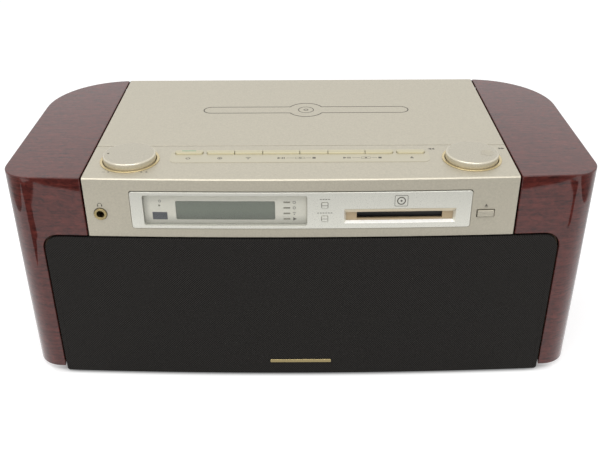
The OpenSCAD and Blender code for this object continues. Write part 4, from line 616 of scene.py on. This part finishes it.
class SYSTEM_OT_stage(Operator):
    """Camera, lamps, floor and backdrop"""

    bl_idname = "disc_system.stage"
    bl_label = "Stage"

    def execute(self, context):
        scene = context.scene
        studio = scene.studio
        scene.view_settings.view_transform = "Standard"
        self.make_camera(scene, studio)
        self.make_world(scene, studio)
        self.make_floor(studio)
        self.make_cards()
        lamp = bpy.data.lights.new("overhead_lamp", "AREA")
        lamp.shape = "RECTANGLE"
        lamp.size, lamp.size_y = 1.8, 0.45
        lamp.energy = studio.lamp
        holder = bpy.data.objects.new("overhead_lamp", lamp)
        holder.location = (-0.15, -0.60, 1.45)
        aim = Vector((0.0, 0.0, 0.15)) - holder.location
        holder.rotation_euler = aim.to_track_quat("-Z", "Y").to_euler()
        scene.collection.objects.link(holder)
        return {"FINISHED"}

    def make_camera(self, scene, studio):
        forward = Vector((0.0, math.cos(studio.pitch), -math.sin(studio.pitch)))
        right = Vector((1.0, 0.0, 0.0))
        down = forward.cross(right)
        turn = Matrix.Rotation(studio.yaw, 3, "Z")
        forward, right, down = turn @ forward, turn @ right, turn @ down
        lean_right = math.cos(studio.roll) * right + math.sin(studio.roll) * down
        lean_down = -math.sin(studio.roll) * right + math.cos(studio.roll) * down
        data = bpy.data.cameras.new("photo_camera")
        data.sensor_fit = "HORIZONTAL"
        data.sensor_width = 36.0
        data.lens = studio.lens
        data.clip_start = 0.01
        camera = bpy.data.objects.new("photo_camera", data)
        axes = Matrix((lean_right, -lean_down, -forward)).transposed()
        camera.matrix_world = Matrix.Translation(studio.camera) @ axes.to_4x4()
        scene.collection.objects.link(camera)
        scene.camera = camera

    def make_world(self, scene, studio):
        world = bpy.data.worlds.new("studio")
        world.use_nodes = True
        graph = Graph(world.node_tree)
        dome = graph.node("ShaderNodeBackground", None, {"Strength": studio.dome})
        white = graph.node("ShaderNodeBackground", None, {"Strength": 1.0})
        for sky in (dome, white):
            sky.socket.node.inputs["Color"].default_value = (1.0, 1.0, 1.0, 1.0)
        seen = dome
        for kind in ("Camera", "Glossy", "Transmission"):
            seen = graph.blend(graph.ray(kind), seen, white)
        graph.show("World Output", seen)
        scene.world = world

    def sheet(self, name, bm, material):
        """A flat stage piece."""
        obj = mesh_object(name, bm, material)
        return obj

    def make_floor(self, studio):
        """White in the picture except where the object shades it closely, with a painted contact shadow at
        the foot of the grille.
        """
        paint = Paint("pale_floor")
        matt = paint.node("ShaderNodeBsdfDiffuse", None, {"Color": (*studio.floor, 1.0)})
        pale = (2.2 * part for part in studio.floor)
        bright = paint.node("ShaderNodeBsdfDiffuse", None, {"Color": (*pale, 1.0)})
        glow = paint.node("ShaderNodeEmission", None, {"Strength": 0.95})
        dark = paint.node("ShaderNodeBsdfDiffuse", None, {"Color": (0.02, 0.02, 0.02, 1.0)})
        across, back, _ = paint.axes(paint.place())
        span = across * across
        behind = back - bow_y(0.0) - 0.5 / BOW_R * span
        # painted contact shadow: a dark band laid by place along the foot of the front
        painted_contact_shadow = (paint.between(behind, -4.5 * MM, 3.5 * MM, 0.0, 0.97)
                   * paint.between(behind, 30.0 * MM, 40.0 * MM, 1.0, 0.0)
                   * paint.between(span, 0.215 ** 2, 0.245 ** 2, 1.0, 0.0))
        seen = paint.blend(painted_contact_shadow, paint.blend(0.65, bright, glow), dark)
        look = paint.blend(paint.ray("Camera"), matt, seen)
        for kind in ("Glossy", "Transmission"):
            look = paint.blend(0.62 * paint.ray(kind), look, glow)
        paint.show("Material Output", look)
        bm = bmesh.new()
        bmesh.ops.create_grid(bm, x_segments=1, y_segments=1, size=4.0,
                              matrix=Matrix.Translation((0.0, 0.0, -0.0002)))
        self.sheet("floor", bm, paint.material)

    def make_cards(self):
        """Light and dark cards on the floor, seen only in gloss, that shape the lacquer's reflections."""
        light = ((0.305, -0.506), (0.60, -0.506), (0.60, 0.05), (0.19, 0.05), (0.19, -0.12),
                 (0.268, -0.378))
        band = ((0.29, -0.478), (0.35, -0.484), (0.40, -0.491), (0.43, -0.502), (0.47, -0.53),
                (0.47, -0.72), (0.31, -0.72))
        cards = {
            "left_band": ([(-x, y) for x, y in band], 0.03),
            "right_band": (band, 0.03),
            "left_streak": (((-0.58, -0.40), (-0.425, -0.505), (-0.395, -0.43), (-0.355, -0.355),
                             (-0.375, -0.25), (-0.44, -0.31), (-0.50, -0.36)), 0.04),
            "right_streak": (((0.424, -0.50), (0.404, -0.441), (0.366, -0.37), (0.41, -0.359),
                              (0.454, -0.411), (0.49, -0.455)), 0.04),
            "left_dusk": (((-0.74, 0.04), (-0.64, 0.02), (-0.59, -0.10), (-0.563, -0.25), (-0.57, -0.39),
                           (-0.74, -0.46)), 0.25),
            "right_dusk": (((0.80, 0.07), (0.65, 0.07), (0.612, -0.07), (0.60, -0.15), (0.579, -0.311),
                            (0.544, -0.44), (0.80, -0.46)), 0.06),
            **{f"{side}_light": ([(SIDES[side] * x, y) for x, y in light], 0.6) for side in SIDES},
        }
        for level, (name, (corners, tone)) in enumerate(cards.items()):
            bm = bmesh.new()
            bm.faces.new([bm.verts.new((x, y, 0.001 - 0.0001 * level)) for x, y in corners])
            bmesh.ops.recalc_face_normals(bm, faces=bm.faces)
            shown = (moulded(name, (tone, 0.8 * tone, 0.7 * tone), 0.9) if tone < 0.5
                     else glowing(name, (1.0, 1.0, 1.0), tone))
            self.fade(shown)
            card = self.sheet(name, bm, shown)
            for kind in ("camera", "diffuse", "transmission", "volume_scatter", "shadow"):
                setattr(card, f"visible_{kind}", False)

    def fade(self, material):
        """Lets a card fade out towards the sides and the back, so that it leaves no hard edge there."""
        graph = Graph(material.node_tree)
        across, back, _ = graph.axes(graph.place())
        cover = (graph.between(across * across, 0.60 ** 2, 0.79 ** 2, 1.0, 0.0)
                 * graph.between(back, -0.10, 0.04, 1.0, 0.0))
        graph.tree.links.new(cover.socket, graph.tree.nodes["Principled BSDF"].inputs["Alpha"])


class Stencil:
    """Flat shapes in millimetres, raised a little and laid on a face of the object."""

    def __init__(self):
        self.bm = bmesh.new()

    def bar(self, x, y, wide, tall):
        spot = Matrix.Translation((x, y, 0.0)) @ Matrix.Diagonal((wide / 2, tall / 2, 1.0, 1.0))
        bmesh.ops.create_grid(self.bm, x_segments=1, y_segments=1, size=1.0, matrix=spot)

    def disc(self, x, y, radius, sides=28, turn=0.0):
        spot = Matrix.Translation((x, y, 0.0)) @ Matrix.Rotation(math.radians(turn), 4, "Z")
        bmesh.ops.create_circle(self.bm, cap_ends=True, segments=sides, radius=radius, matrix=spot)

    def ring(self, x, y, radius, line, start=0.0, sweep=360.0):
        way = Vector((math.cos(math.radians(start)), math.sin(math.radians(start)), 0.0))
        middle = Vector((x, y, 0.0))
        ends = [self.bm.verts.new(middle + way * (radius + side * line / 2)) for side in (-1, 1)]
        bmesh.ops.spin(self.bm, geom=[*ends, self.bm.edges.new(ends)], cent=middle, axis=(0.0, 0.0, 1.0),
                       angle=math.radians(sweep), steps=max(6, round(sweep / 9)), use_merge=sweep == 360.0)

    def plate(self, x, y, wide, tall, radius):
        before = set(self.bm.faces)
        self.bar(x, y, wide, tall)
        face = (set(self.bm.faces) - before).pop()
        bevel(self.bm, list(face.verts), radius, 6, "VERTICES")
        return (set(self.bm.faces) - before).pop()

    def outline(self, x, y, wide, tall, radius, line):
        face = self.plate(x, y, wide, tall, radius)
        bmesh.ops.inset_region(self.bm, faces=[face], thickness=line, depth=0.0, use_boundary=True)
        bmesh.ops.delete(self.bm, geom=[face], context="FACES_ONLY")

    def power(self, x, y):
        self.ring(x, y, 1.7, 0.6, 125.0, 290.0)
        self.bar(x, y + 1.4, 0.6, 2.0)

    def waves(self, x, y):
        self.disc(x, y - 1.5, 0.65, 14)
        for radius in (1.7, 3.1):
            self.ring(x, y - 1.5, radius, 0.55, 45.0, 90.0)

    def play(self, x, y, turn=-90.0):
        self.disc(x, y, 2.0, 3, turn)

    def pause(self, x, y):
        for side in (-1, 1):
            self.bar(x + side * 0.85, y, 0.95, 3.0)

    def eject(self, x, y, size=1.0):
        self.disc(x, y + 0.5 * size, 1.7 * size, 3)
        self.bar(x, y - 1.2 * size, 3.0 * size, 0.6 * size)

    def lay(self, name, finish, body, slot, on, thick):
        """Raises the shapes and moves them with on(x, y, height) to the row frame."""
        raised = bmesh.ops.extrude_face_region(self.bm, geom=self.bm.faces[:], use_keep_orig=True)
        top = [v for v in raised["geom"] if isinstance(v, bmesh.types.BMVert)]
        bmesh.ops.translate(self.bm, vec=(0.0, 0.0, thick / MM), verts=top)
        for vert in self.bm.verts:
            vert.co = on(*(part * MM for part in vert.co))
        bmesh.ops.recalc_face_normals(self.bm, faces=self.bm.faces)
        return piece(name, self.bm, finish, body, slot)


def on_top(level):
    """Lays a shape on a level face."""
    return lambda x, y, up: (x, y, level + up)


def on_front(depth):
    """Lays a shape, drawn by width and height, on the bowed front at a depth behind it."""
    return lambda x, z, up: (x, bow_y(x) + depth - up, z)


class SYSTEM_OT_wood_ends(Operator):
    """Lacquered wood ends with rounded rims"""

    bl_idname = "disc_system.wood_ends"
    bl_label = "Wood ends"

    def execute(self, context):
        finish = context.scene.wood_finish
        for side in SIDES:
            node = f"{side}_wood_end"
            low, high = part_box(node)

            def outer_rim(edge):
                flat = [abs(v.co.z - high.z) < 1e-5 for v in edge.verts]
                out = [abs(v.co.x) > 0.1885 for v in edge.verts]
                return all(flat) and any(out)

            bm = node_shape(node)
            round_off(bm, finish.rim, outer_rim, 4)
            round_off(bm, finish.edge, None, 3)
            grain = bm.loops.layers.uv.new("grain")
            for face in bm.faces:
                top = abs(face.normal.z) > 0.6
                for loop in face.loops:
                    x, y, z = loop.vert.co
                    loop[grain].uv = (x, y + 2.0) if top else (along_end(x, y) + SIDES[side] * 3.0, z)
            smooth(piece(f"{side}_lacquered_end", bm, finishes(context)["lacquered_wood"], BODY_OF[node],
                         "lacquered_wood", (node,)), 35.0)
        return {"FINISHED"}


class SYSTEM_OT_panel_and_lid(Operator):
    """Champagne control panel and disc lid"""

    bl_idname = "disc_system.panel_and_lid"
    bl_label = "Panel and lid"

    def execute(self, context):
        finish = context.scene.metal_finish
        made = finishes(context)
        sheets = (("control_panel", "champagne_panel", finish.fold),
                  ("disc_lid", "champagne_lid", finish.brim))
        for node, name, fold in sheets:
            low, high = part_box(node)
            bm = node_shape(node)
            for vert in bm.verts:
                if abs(vert.co.x) > high.x - 0.05 * MM:
                    vert.co.x += math.copysign(finish.overlap, vert.co.x)

            def front_fold(edge):
                return all(v.co.z > high.z - 1e-5 and v.co.y < low.y + 6.0 * MM for v in edge.verts)

            round_off(bm, fold, front_fold, 4)
            round_off(bm, finish.cut, lambda e: not front_fold(e))
            smooth(piece(name, bm, made["champagne_metal"], BODY_OF[node], "champagne_metal", (node,)))
        return {"FINISHED"}


class SYSTEM_OT_display(Operator):
    """Silver bezel with its window and small keys"""

    bl_idname = "disc_system.display"
    bl_label = "Display"

    def execute(self, context):
        finish = context.scene.metal_finish
        made = finishes(context)
        low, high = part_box("display_bezel")

        def outer(edge):
            spot = sum((v.co for v in edge.verts), Vector()) / 2
            level = spot.z > high.z - 0.1 * MM or spot.z < low.z + 0.1 * MM
            return (level or abs(spot.x) > high.x - 2.3 * MM) and spot.y < bow_y(spot.x)

        bm = node_shape("display_bezel")
        # a glowing film on the slot's lower lip: a painted highlight
        self.slot_film(bm, "slot_lip", made["slot_lip"], lambda way: way.z > 0.3 and way.y < -0.2)
        self.slot_film(bm, "slot_roof", made["slot_roof"], lambda way: way.z < -0.3 and way.y < -0.3)
        round_off(bm, finish.bezel_edge, outer, 4)
        round_off(bm, finish.cut, lambda e: not outer(e))
        smooth(piece("silver_bezel", bm, made["pale_silver"], BODY_OF["display_bezel"], "pale_silver",
                     ("display_bezel",)))
        for node in ("display_key", "mode_key"):
            rounded_node(context, node, f"{node}_cap", context.scene.plastic_finish.key_edge)
        return {"FINISHED"}

    def slot_film(self, source, name, material, chosen):
        """A thin film over one slope of the cartridge slot."""
        bm = source.copy()
        bmesh.ops.delete(bm, geom=[f for f in bm.faces if not chosen(f.normal)], context="FACES")
        bmesh.ops.triangulate(bm, faces=bm.faces)
        bmesh.ops.translate(bm, vec=bm.faces[:][0].normal * 0.1 * MM, verts=bm.verts)
        piece(name, bm, material, "cabinet", "pale_silver")


class SYSTEM_OT_keys(Operator):
    """Top keys and the cartridge eject key"""

    bl_idname = "disc_system.keys"
    bl_label = "Keys"

    def execute(self, context):
        made = finishes(context)
        edge = context.scene.plastic_finish.key_edge
        for node in TOP_KEYS:
            rounded_node(context, node, f"{node}_cap", edge)
        rounded_node(context, "md_eject_key", "md_eject_key_cap", 0.9 * MM, 3)
        low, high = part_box("key_plate")
        wide, tall, _ = (high - low) / MM
        x, y, _ = middle_of("key_plate") / MM
        lip, corner = 1.2, 6.6
        rim = Stencil()
        rim.outline(x, y, wide + lip, tall + lip, corner, lip)
        rim.lay("key_strip_rim", made["key_strip"], "cabinet", "cream_plastic", on_top(TOP_Z), 0.26 * MM)
        crown = 16.0 * MM
        key = middle_of("power_key")
        key_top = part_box("power_key")[1].z

        def on_crown(x, y, up):
            return x, y, key_top + up - crown + math.sqrt(crown * crown - (y - key.y) ** 2)

        light = Stencil()
        light.bar(key.x / MM - 0.2, key.y / MM + 1.0, 12.6, 1.2)
        light.lay("power_light", made["green_lamp"], BODY_OF["power_key"], "lamp", on_crown, 0.05 * MM)
        return {"FINISHED"}


class SYSTEM_OT_sockets_and_knobs(Operator):
    """Phones socket, a painted shadow ring round it and the volume knob's pointer"""

    bl_idname = "disc_system.sockets_and_knobs"
    bl_label = "Socket and knobs"

    def execute(self, context):
        made = finishes(context)
        socket = rounded_node(context, "phones_jack", "phones_socket", 0.6 * MM, 4)
        socket.data.materials[0] = made["dull_brass"]
        rounded_node(context, "knob_rings", "knob_ring_pair", 0.38 * MM, 4)
        jack = middle_of("phones_jack") / MM
        # a thin black ring on the panel round the socket: a painted shadow line, not a part
        painted_shadow_ring = Stencil()
        painted_shadow_ring.ring(jack.x, jack.z, 5.75, 0.45)
        painted_shadow_ring.lay("phones_painted_shadow_ring", made["black_plastic"], "cabinet", "black_plastic", on_front(0.0), 0.06 * MM)
        knob = middle_of("volume_knob") / MM
        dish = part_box("volume_knob")[1].z - 0.5 * MM
        pointer_out = 18.3
        pointer = Stencil()
        pointer.disc(knob.x - pointer_out, knob.y, 0.95)
        pointer.lay("volume_pointer", made["ink"], "volume", "black_plastic", on_top(dish), 0.1 * MM)
        return {"FINISHED"}


class SYSTEM_OT_top_marks(Operator):
    """Printed symbols on the key strip and round the knobs"""

    bl_idname = "disc_system.top_marks"
    bl_label = "Top marks"

    def execute(self, context):
        made = finishes(context)
        film = context.scene.print_finish.film
        row = -78.0
        middle = {key: middle_of(key).x / MM for key in TOP_KEYS}
        ink = Stencil()
        ink.power(middle["power_key"], row)
        ink.ring(middle["line_key"], row, 1.8, 0.6)
        ink.disc(middle["line_key"], row, 0.75, 16)
        ink.waves(middle["radio_key"], row)
        for kind in ("cd", "md"):
            start, stop = middle[f"{kind}_play_key"], middle[f"{kind}_stop_key"]
            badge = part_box(f"{kind}_stop_key")[0].x / MM
            ink.play(start - 2.2, row)
            ink.pause(start + 1.8, row)
            ink.bar(stop, row, 2.8, 3.0)
            for left, right in ((start + 4.6, badge - 5.2), (badge + 5.2, stop - 2.4)):
                ink.bar((left + right) / 2, row, right - left, 0.35)
            ink.outline(badge, row, 9.0, 3.6, 1.7, 0.3)
            if kind == "cd":
                ink.ring(badge, row, 0.9, 0.5)
            else:
                ink.bar(badge, row, 1.8, 1.8)
        ink.eject(middle["lid_key"], row)
        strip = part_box("key_plate")[1].z
        ink.lay("key_strip_marks", made["ink"], "cabinet", "black_plastic", on_top(strip), film)
        volume, jog = (middle_of(f"{name}_knob") / MM for name in ("volume", "jog"))
        rim = Stencil()
        for dot, sign, y in ((-14.3, -18.4, volume.y - 23.7), (14.1, 18.4, volume.y - 24.0)):
            rim.disc(volume.x + dot, y, 0.8, 16)
            rim.bar(volume.x + sign, y, 2.6, 0.5)
            if sign > 0:
                rim.bar(volume.x + sign, y, 0.5, 2.6)
        for outs, y, turn in (((-31.0, -33.8), 20.6, 90.0), ((28.8, 31.4), 20.9, -90.0)):
            for out in outs:
                rim.play(jog.x + out, jog.y + y, turn)
        rim.lay("knob_marks", made["ink"], "cabinet", "black_plastic", on_top(TOP_Z), film)
        return {"FINISHED"}


class SYSTEM_OT_lid_cartouche(Operator):
    """Thin engraved-looking outline on the lid, plain inside"""

    bl_idname = "disc_system.lid_cartouche"
    bl_label = "Lid cartouche"

    def execute(self, context):
        x, y, half, tall, circle, line = 5.3, 35.0, 102.0, 7.9, 17.6, 1.1
        lean = math.degrees(math.asin(tall / circle))
        reach = math.sqrt(circle * circle - tall * tall)
        ink = Stencil()
        for side in (-1, 1):
            ink.ring(x, y, circle, line, 90.0 * side - 90.0 + lean, 180.0 - 2 * lean)
            ink.ring(x + side * (half - tall), y, tall, line, -90.0 * side, 180.0)
            for edge in (-1, 1):
                ink.bar(x + side * (reach + half - tall) / 2, y + edge * tall, half - tall - reach, line)
        ink.ring(x, y, 7.5, 0.8)
        ink.ring(x, y, 2.0, 0.8)
        ink.lay("lid_cartouche", finishes(context)["ink"], "lid", "black_plastic", on_top(TOP_Z),
                context.scene.print_finish.film)
        return {"FINISHED"}


class SYSTEM_OT_front_marks(Operator):
    """Printed symbols on the panel, the bezel and the face behind the window"""

    bl_idname = "disc_system.front_marks"
    bl_label = "Front marks"

    def execute(self, context):
        made = finishes(context)
        film = context.scene.print_finish.film
        phones, phones_z = middle_of("phones_jack").x / MM + 0.2, 183.6
        panel = Stencil()
        panel.ring(phones, phones_z, 1.8, 0.45, 0.0, 180.0)
        for side in (-1, 1):
            panel.bar(phones + side * 1.7, phones_z - 0.6, 0.95, 1.6)
        panel.eject(middle_of("md_eject_key").x / MM - 0.1, 181.6, 0.9)
        panel.lay("panel_marks", made["ink"], "cabinet", "black_plastic", on_front(0.0), film)
        mark = (85.6, 188.3)
        bezel = Stencil()
        bezel.outline(*mark, 11.4, 10.6, 1.2, 0.4)
        bezel.ring(*mark, 3.3, 0.9)
        bezel.disc(*mark, 0.9, 20)
        keys = middle_of("display_key").x / MM
        for z, dashes in ((190.4, 4), (177.2, 6)):
            for dash in range(dashes):
                bezel.bar(keys + 2.3 * (dash - (dashes - 1) / 2), z, 1.5, 0.6)
        bezel.lay("bezel_marks", made["ink"], "cabinet", "black_plastic", on_front(-0.8 * MM), film)
        column, top_row, row_step = -5.6, 186.0, 5.4
        cartridge, disc, wave, tape = (top_row - row_step * row for row in range(4))
        power, power_z = -121.0, 187.0
        behind = on_front(2.4 * MM)
        face = Stencil()
        face.outline(column, cartridge, 2.4, 2.2, 0.3, 0.4)
        face.ring(column, disc, 1.1, 0.4)
        face.ring(column, wave - 1.0, 1.9, 0.4, 45.0, 90.0)
        face.disc(column, wave - 0.8, 0.5, 12)
        face.play(column, tape)
        face.ring(power, power_z, 1.0, 0.35, 125.0, 290.0)
        face.bar(power, power_z + 0.9, 0.35, 1.2)
        face.lay("display_marks", made["ink"], "cabinet", "black_plastic", behind, film)
        sensor = Stencil()
        sensor.plate(power - 0.6, 172.6, 12.8, 7.2, 0.5)
        sensor.lay("remote_sensor", made["dark_filter"], "cabinet", "black_plastic", behind, 0.15 * MM)
        for key in ("display_key", "mode_key"):
            x, _, z = middle_of(key) / MM
            line = Stencil()
            line.bar(x, z, 4.6, 0.35)
            line.lay(f"{key}_line", made["ink"], BODY_OF[key], "black_plastic", on_front(-1.4 * MM), film)
        return {"FINISHED"}


class SYSTEM_OT_badge(Operator):
    """Plain strip on the speaker cloth"""

    bl_idname = "disc_system.badge"
    bl_label = "Badge strip"

    def execute(self, context):
        strip = Stencil()
        strip.plate(-0.9, 17.4, 57.6, 3.4, 0.8)
        badge = strip.lay("badge_strip", finishes(context)["dull_brass"], "cabinet", "brass",
                          on_front(-1.9 * MM), 0.8 * MM)
        badge.data.set_sharp_from_angle(angle=math.radians(30.0))
        edge = badge.modifiers.new("soft_edge", "BEVEL")
        edge.width = 0.25 * MM
        edge.segments = 2
        return {"FINISHED"}


class SYSTEM_OT_rear(Operator):
    """Rear panel, phono sleeves with coloured collars"""

    bl_idname = "disc_system.rear"
    bl_label = "Rear"

    def execute(self, context):
        made = finishes(context)
        nodes = {"rear_panel": "rear_board", "jack_plate": "phono_tray", "mains_inlet": "mains_socket"}
        for node, name in nodes.items():
            rounded_node(context, node, name, 0.35 * MM)
        collar = ((4.3, 0.0), (6.6, 0.0), (6.6, 1.2), (6.0, 1.8), (4.3, 1.8))
        sleeve = ((4.16, 1.9), (4.3, 1.9), (4.3, 9.5), (4.16, 10.05))
        jacks, pitch, tray_depth = 4, 20.0 * MM, 12.5 * MM
        outwards = Vector((0.0, 1.0, 0.0))
        for number in range(jacks):
            middle = middle_of("jack_plate")
            middle.x += pitch * (number - (jacks - 1) / 2)
            middle.y = BACK_Y - tray_depth
            tint = ("white", "red")[number % 2]
            for name, finish, slot, path in (("collar", f"{tint}_collar", "black_plastic", collar),
                                             ("sleeve", "steel", "steel", sleeve)):
                bm = spun(path, middle, outwards, 40, True)
                smooth(piece(f"phono_{name}_{number + 1}", bm, made[finish], "cabinet", slot))
        return {"FINISHED"}


class SYSTEM_OT_pickup_lens(Operator):
    """Small glass lens on the disc pickup"""

    bl_idname = "disc_system.pickup_lens"
    bl_label = "Pickup lens"

    def execute(self, context):
        middle = Vector((29.3 * MM, 34.7 * MM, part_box("cd_pickup")[1].z))
        dome = ((0.0, 0.75), (0.9, 0.68), (1.7, 0.45), (2.2, 0.1), (2.4, 0.0))
        bm = spun(dome, middle, Vector((0.0, 0.0, 1.0)), 32, False)
        smooth(piece("pickup_lens", bm, finishes(context)["dark_filter"], "pickup", "clear_window"))
        return {"FINISHED"}


class SYSTEM_OT_grille(Operator):
    """Speaker cloth stretched over its frame"""

    bl_idname = "disc_system.grille"
    bl_label = "Grille"

    def execute(self, context):
        finish = context.scene.cloth_finish
        low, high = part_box("grille_cloth")
        bm = bmesh.new()
        size = ((high.x - low.x) / 2, (high.z - low.z) / 2)
        middle = ((high.x + low.x) / 2, (high.z + low.z) / 2)
        bmesh.ops.create_grid(bm, x_segments=1, y_segments=1, size=1.0)
        bmesh.ops.scale(bm, vec=(*size, 1.0), verts=bm.verts)
        for upper, radius in ((True, 12.0 * MM), (False, 3.0 * MM)):
            corners = [v for v in bm.verts if (v.co.y > 0) == upper]
            bevel(bm, corners, radius, 10, "VERTICES")
        face = bm.faces[:][0]
        steps = 6
        loops = [(list(face.verts), finish.roll)]
        gone = 0.0
        for step in range(1, steps + 1):
            angle = step / steps * math.pi / 2
            inset = finish.roll * (1 - math.cos(angle))
            bmesh.ops.inset_region(bm, faces=[face], thickness=inset - gone, depth=0.0,
                                   use_even_offset=True, use_boundary=True)
            gone = inset
            loops.append((list(face.verts), finish.roll * (1 - math.sin(angle))))
        for verts, depth in loops:
            for vert in verts:
                vert.co.z = depth
        rim = [e for e in bm.edges if e.is_boundary]
        skirt = bmesh.ops.extrude_edge_only(bm, edges=rim)
        back = [v for v in skirt["geom"] if isinstance(v, bmesh.types.BMVert)]
        bmesh.ops.translate(bm, vec=(0.0, 0.0, 5.5 * MM - finish.roll), verts=back)
        bays = 48
        for cut in range(1, bays):
            place = -size[0] + 2 * size[0] * cut / bays
            bmesh.ops.bisect_plane(bm, geom=bm.verts[:] + bm.edges[:] + bm.faces[:], dist=1e-7,
                                   plane_co=(place, 0.0, 0.0), plane_no=(1.0, 0.0, 0.0))
        lead = FRONT_Y - low.y
        for vert in bm.verts:
            x, up, back = vert.co
            vert.co = (middle[0] + x, bow_y(middle[0] + x) - lead + back, middle[1] + up)
        bmesh.ops.recalc_face_normals(bm, faces=bm.faces)
        front = min(bm.faces, key=lambda f: f.calc_center_median().y)
        if front.normal.y > 0:
            bmesh.ops.reverse_faces(bm, faces=bm.faces)
        cloth = piece("speaker_cloth", bm, finishes(context)["grille_cloth"], BODY_OF["grille_cloth"],
                      "grille_cloth", ("grille_cloth",))
        cloth.data.shade_smooth()
        wall = cloth.modifiers.new("cloth_thickness", "SOLIDIFY")
        wall.thickness = finish.thickness
        wall.offset = -1.0
        return {"FINISHED"}


OWN_FINISH = {"key_plate": "key_strip", "display_face": "display_surround", "volume_knob": "volume_metal",
              "jog_knob": "jog_metal"}


class SYSTEM_OT_other_nodes(Operator):
    """Finishes of the CAD nodes that keep their own shape"""

    bl_idname = "disc_system.other_nodes"
    bl_label = "Other nodes"

    def execute(self, context):
        made = finishes(context)
        for node, obj in frame["nodes"].items():
            if not obj.hide_render:
                obj.data.materials.clear()
                obj.data.materials.append(made[OWN_FINISH.get(node, SLOT_OF[node])])
        return {"FINISHED"}


OPERATORS = (SYSTEM_OT_stage, SYSTEM_OT_wood_ends, SYSTEM_OT_panel_and_lid, SYSTEM_OT_display,
             SYSTEM_OT_keys, SYSTEM_OT_sockets_and_knobs, SYSTEM_OT_grille, SYSTEM_OT_top_marks,
             SYSTEM_OT_lid_cartouche, SYSTEM_OT_front_marks, SYSTEM_OT_badge, SYSTEM_OT_rear,
             SYSTEM_OT_pickup_lens, SYSTEM_OT_other_nodes)
GROUPS = {"wood_finish": WoodFinish, "metal_finish": MetalFinish, "plastic_finish": PlasticFinish,
          "cloth_finish": ClothFinish, "print_finish": PrintFinish, "studio": StudioSettings}


class VIEW3D_PT_disc_system(Panel):
    """Sidebar list of the settings and the pieces"""

    bl_label = "Disc system"
    bl_space_type = "VIEW_3D"
    bl_region_type = "UI"
    bl_category = "Disc system"

    def draw(self, context):
        for name, group in GROUPS.items():
            box = self.layout.box()
            box.label(text=name.replace("_", " ").capitalize())
            for prop in group.__annotations__:
                box.prop(getattr(context.scene, name), prop)
        for operator in OPERATORS:
            self.layout.operator(operator.bl_idname)


def register():
    for cls in (*GROUPS.values(), *OPERATORS, VIEW3D_PT_disc_system):
        bpy.utils.register_class(cls)
    for name, group in GROUPS.items():
        setattr(bpy.types.Scene, name, PointerProperty(type=group))


def unregister():
    for name in GROUPS:
        delattr(bpy.types.Scene, name)
    for cls in reversed((*GROUPS.values(), *OPERATORS, VIEW3D_PT_disc_system)):
        bpy.utils.unregister_class(cls)


def main():
    register()
    for operator in OPERATORS:
        group, name = operator.bl_idname.split(".")
        getattr(getattr(bpy.ops, group), name)()


if __name__ == "__main__":
    main()
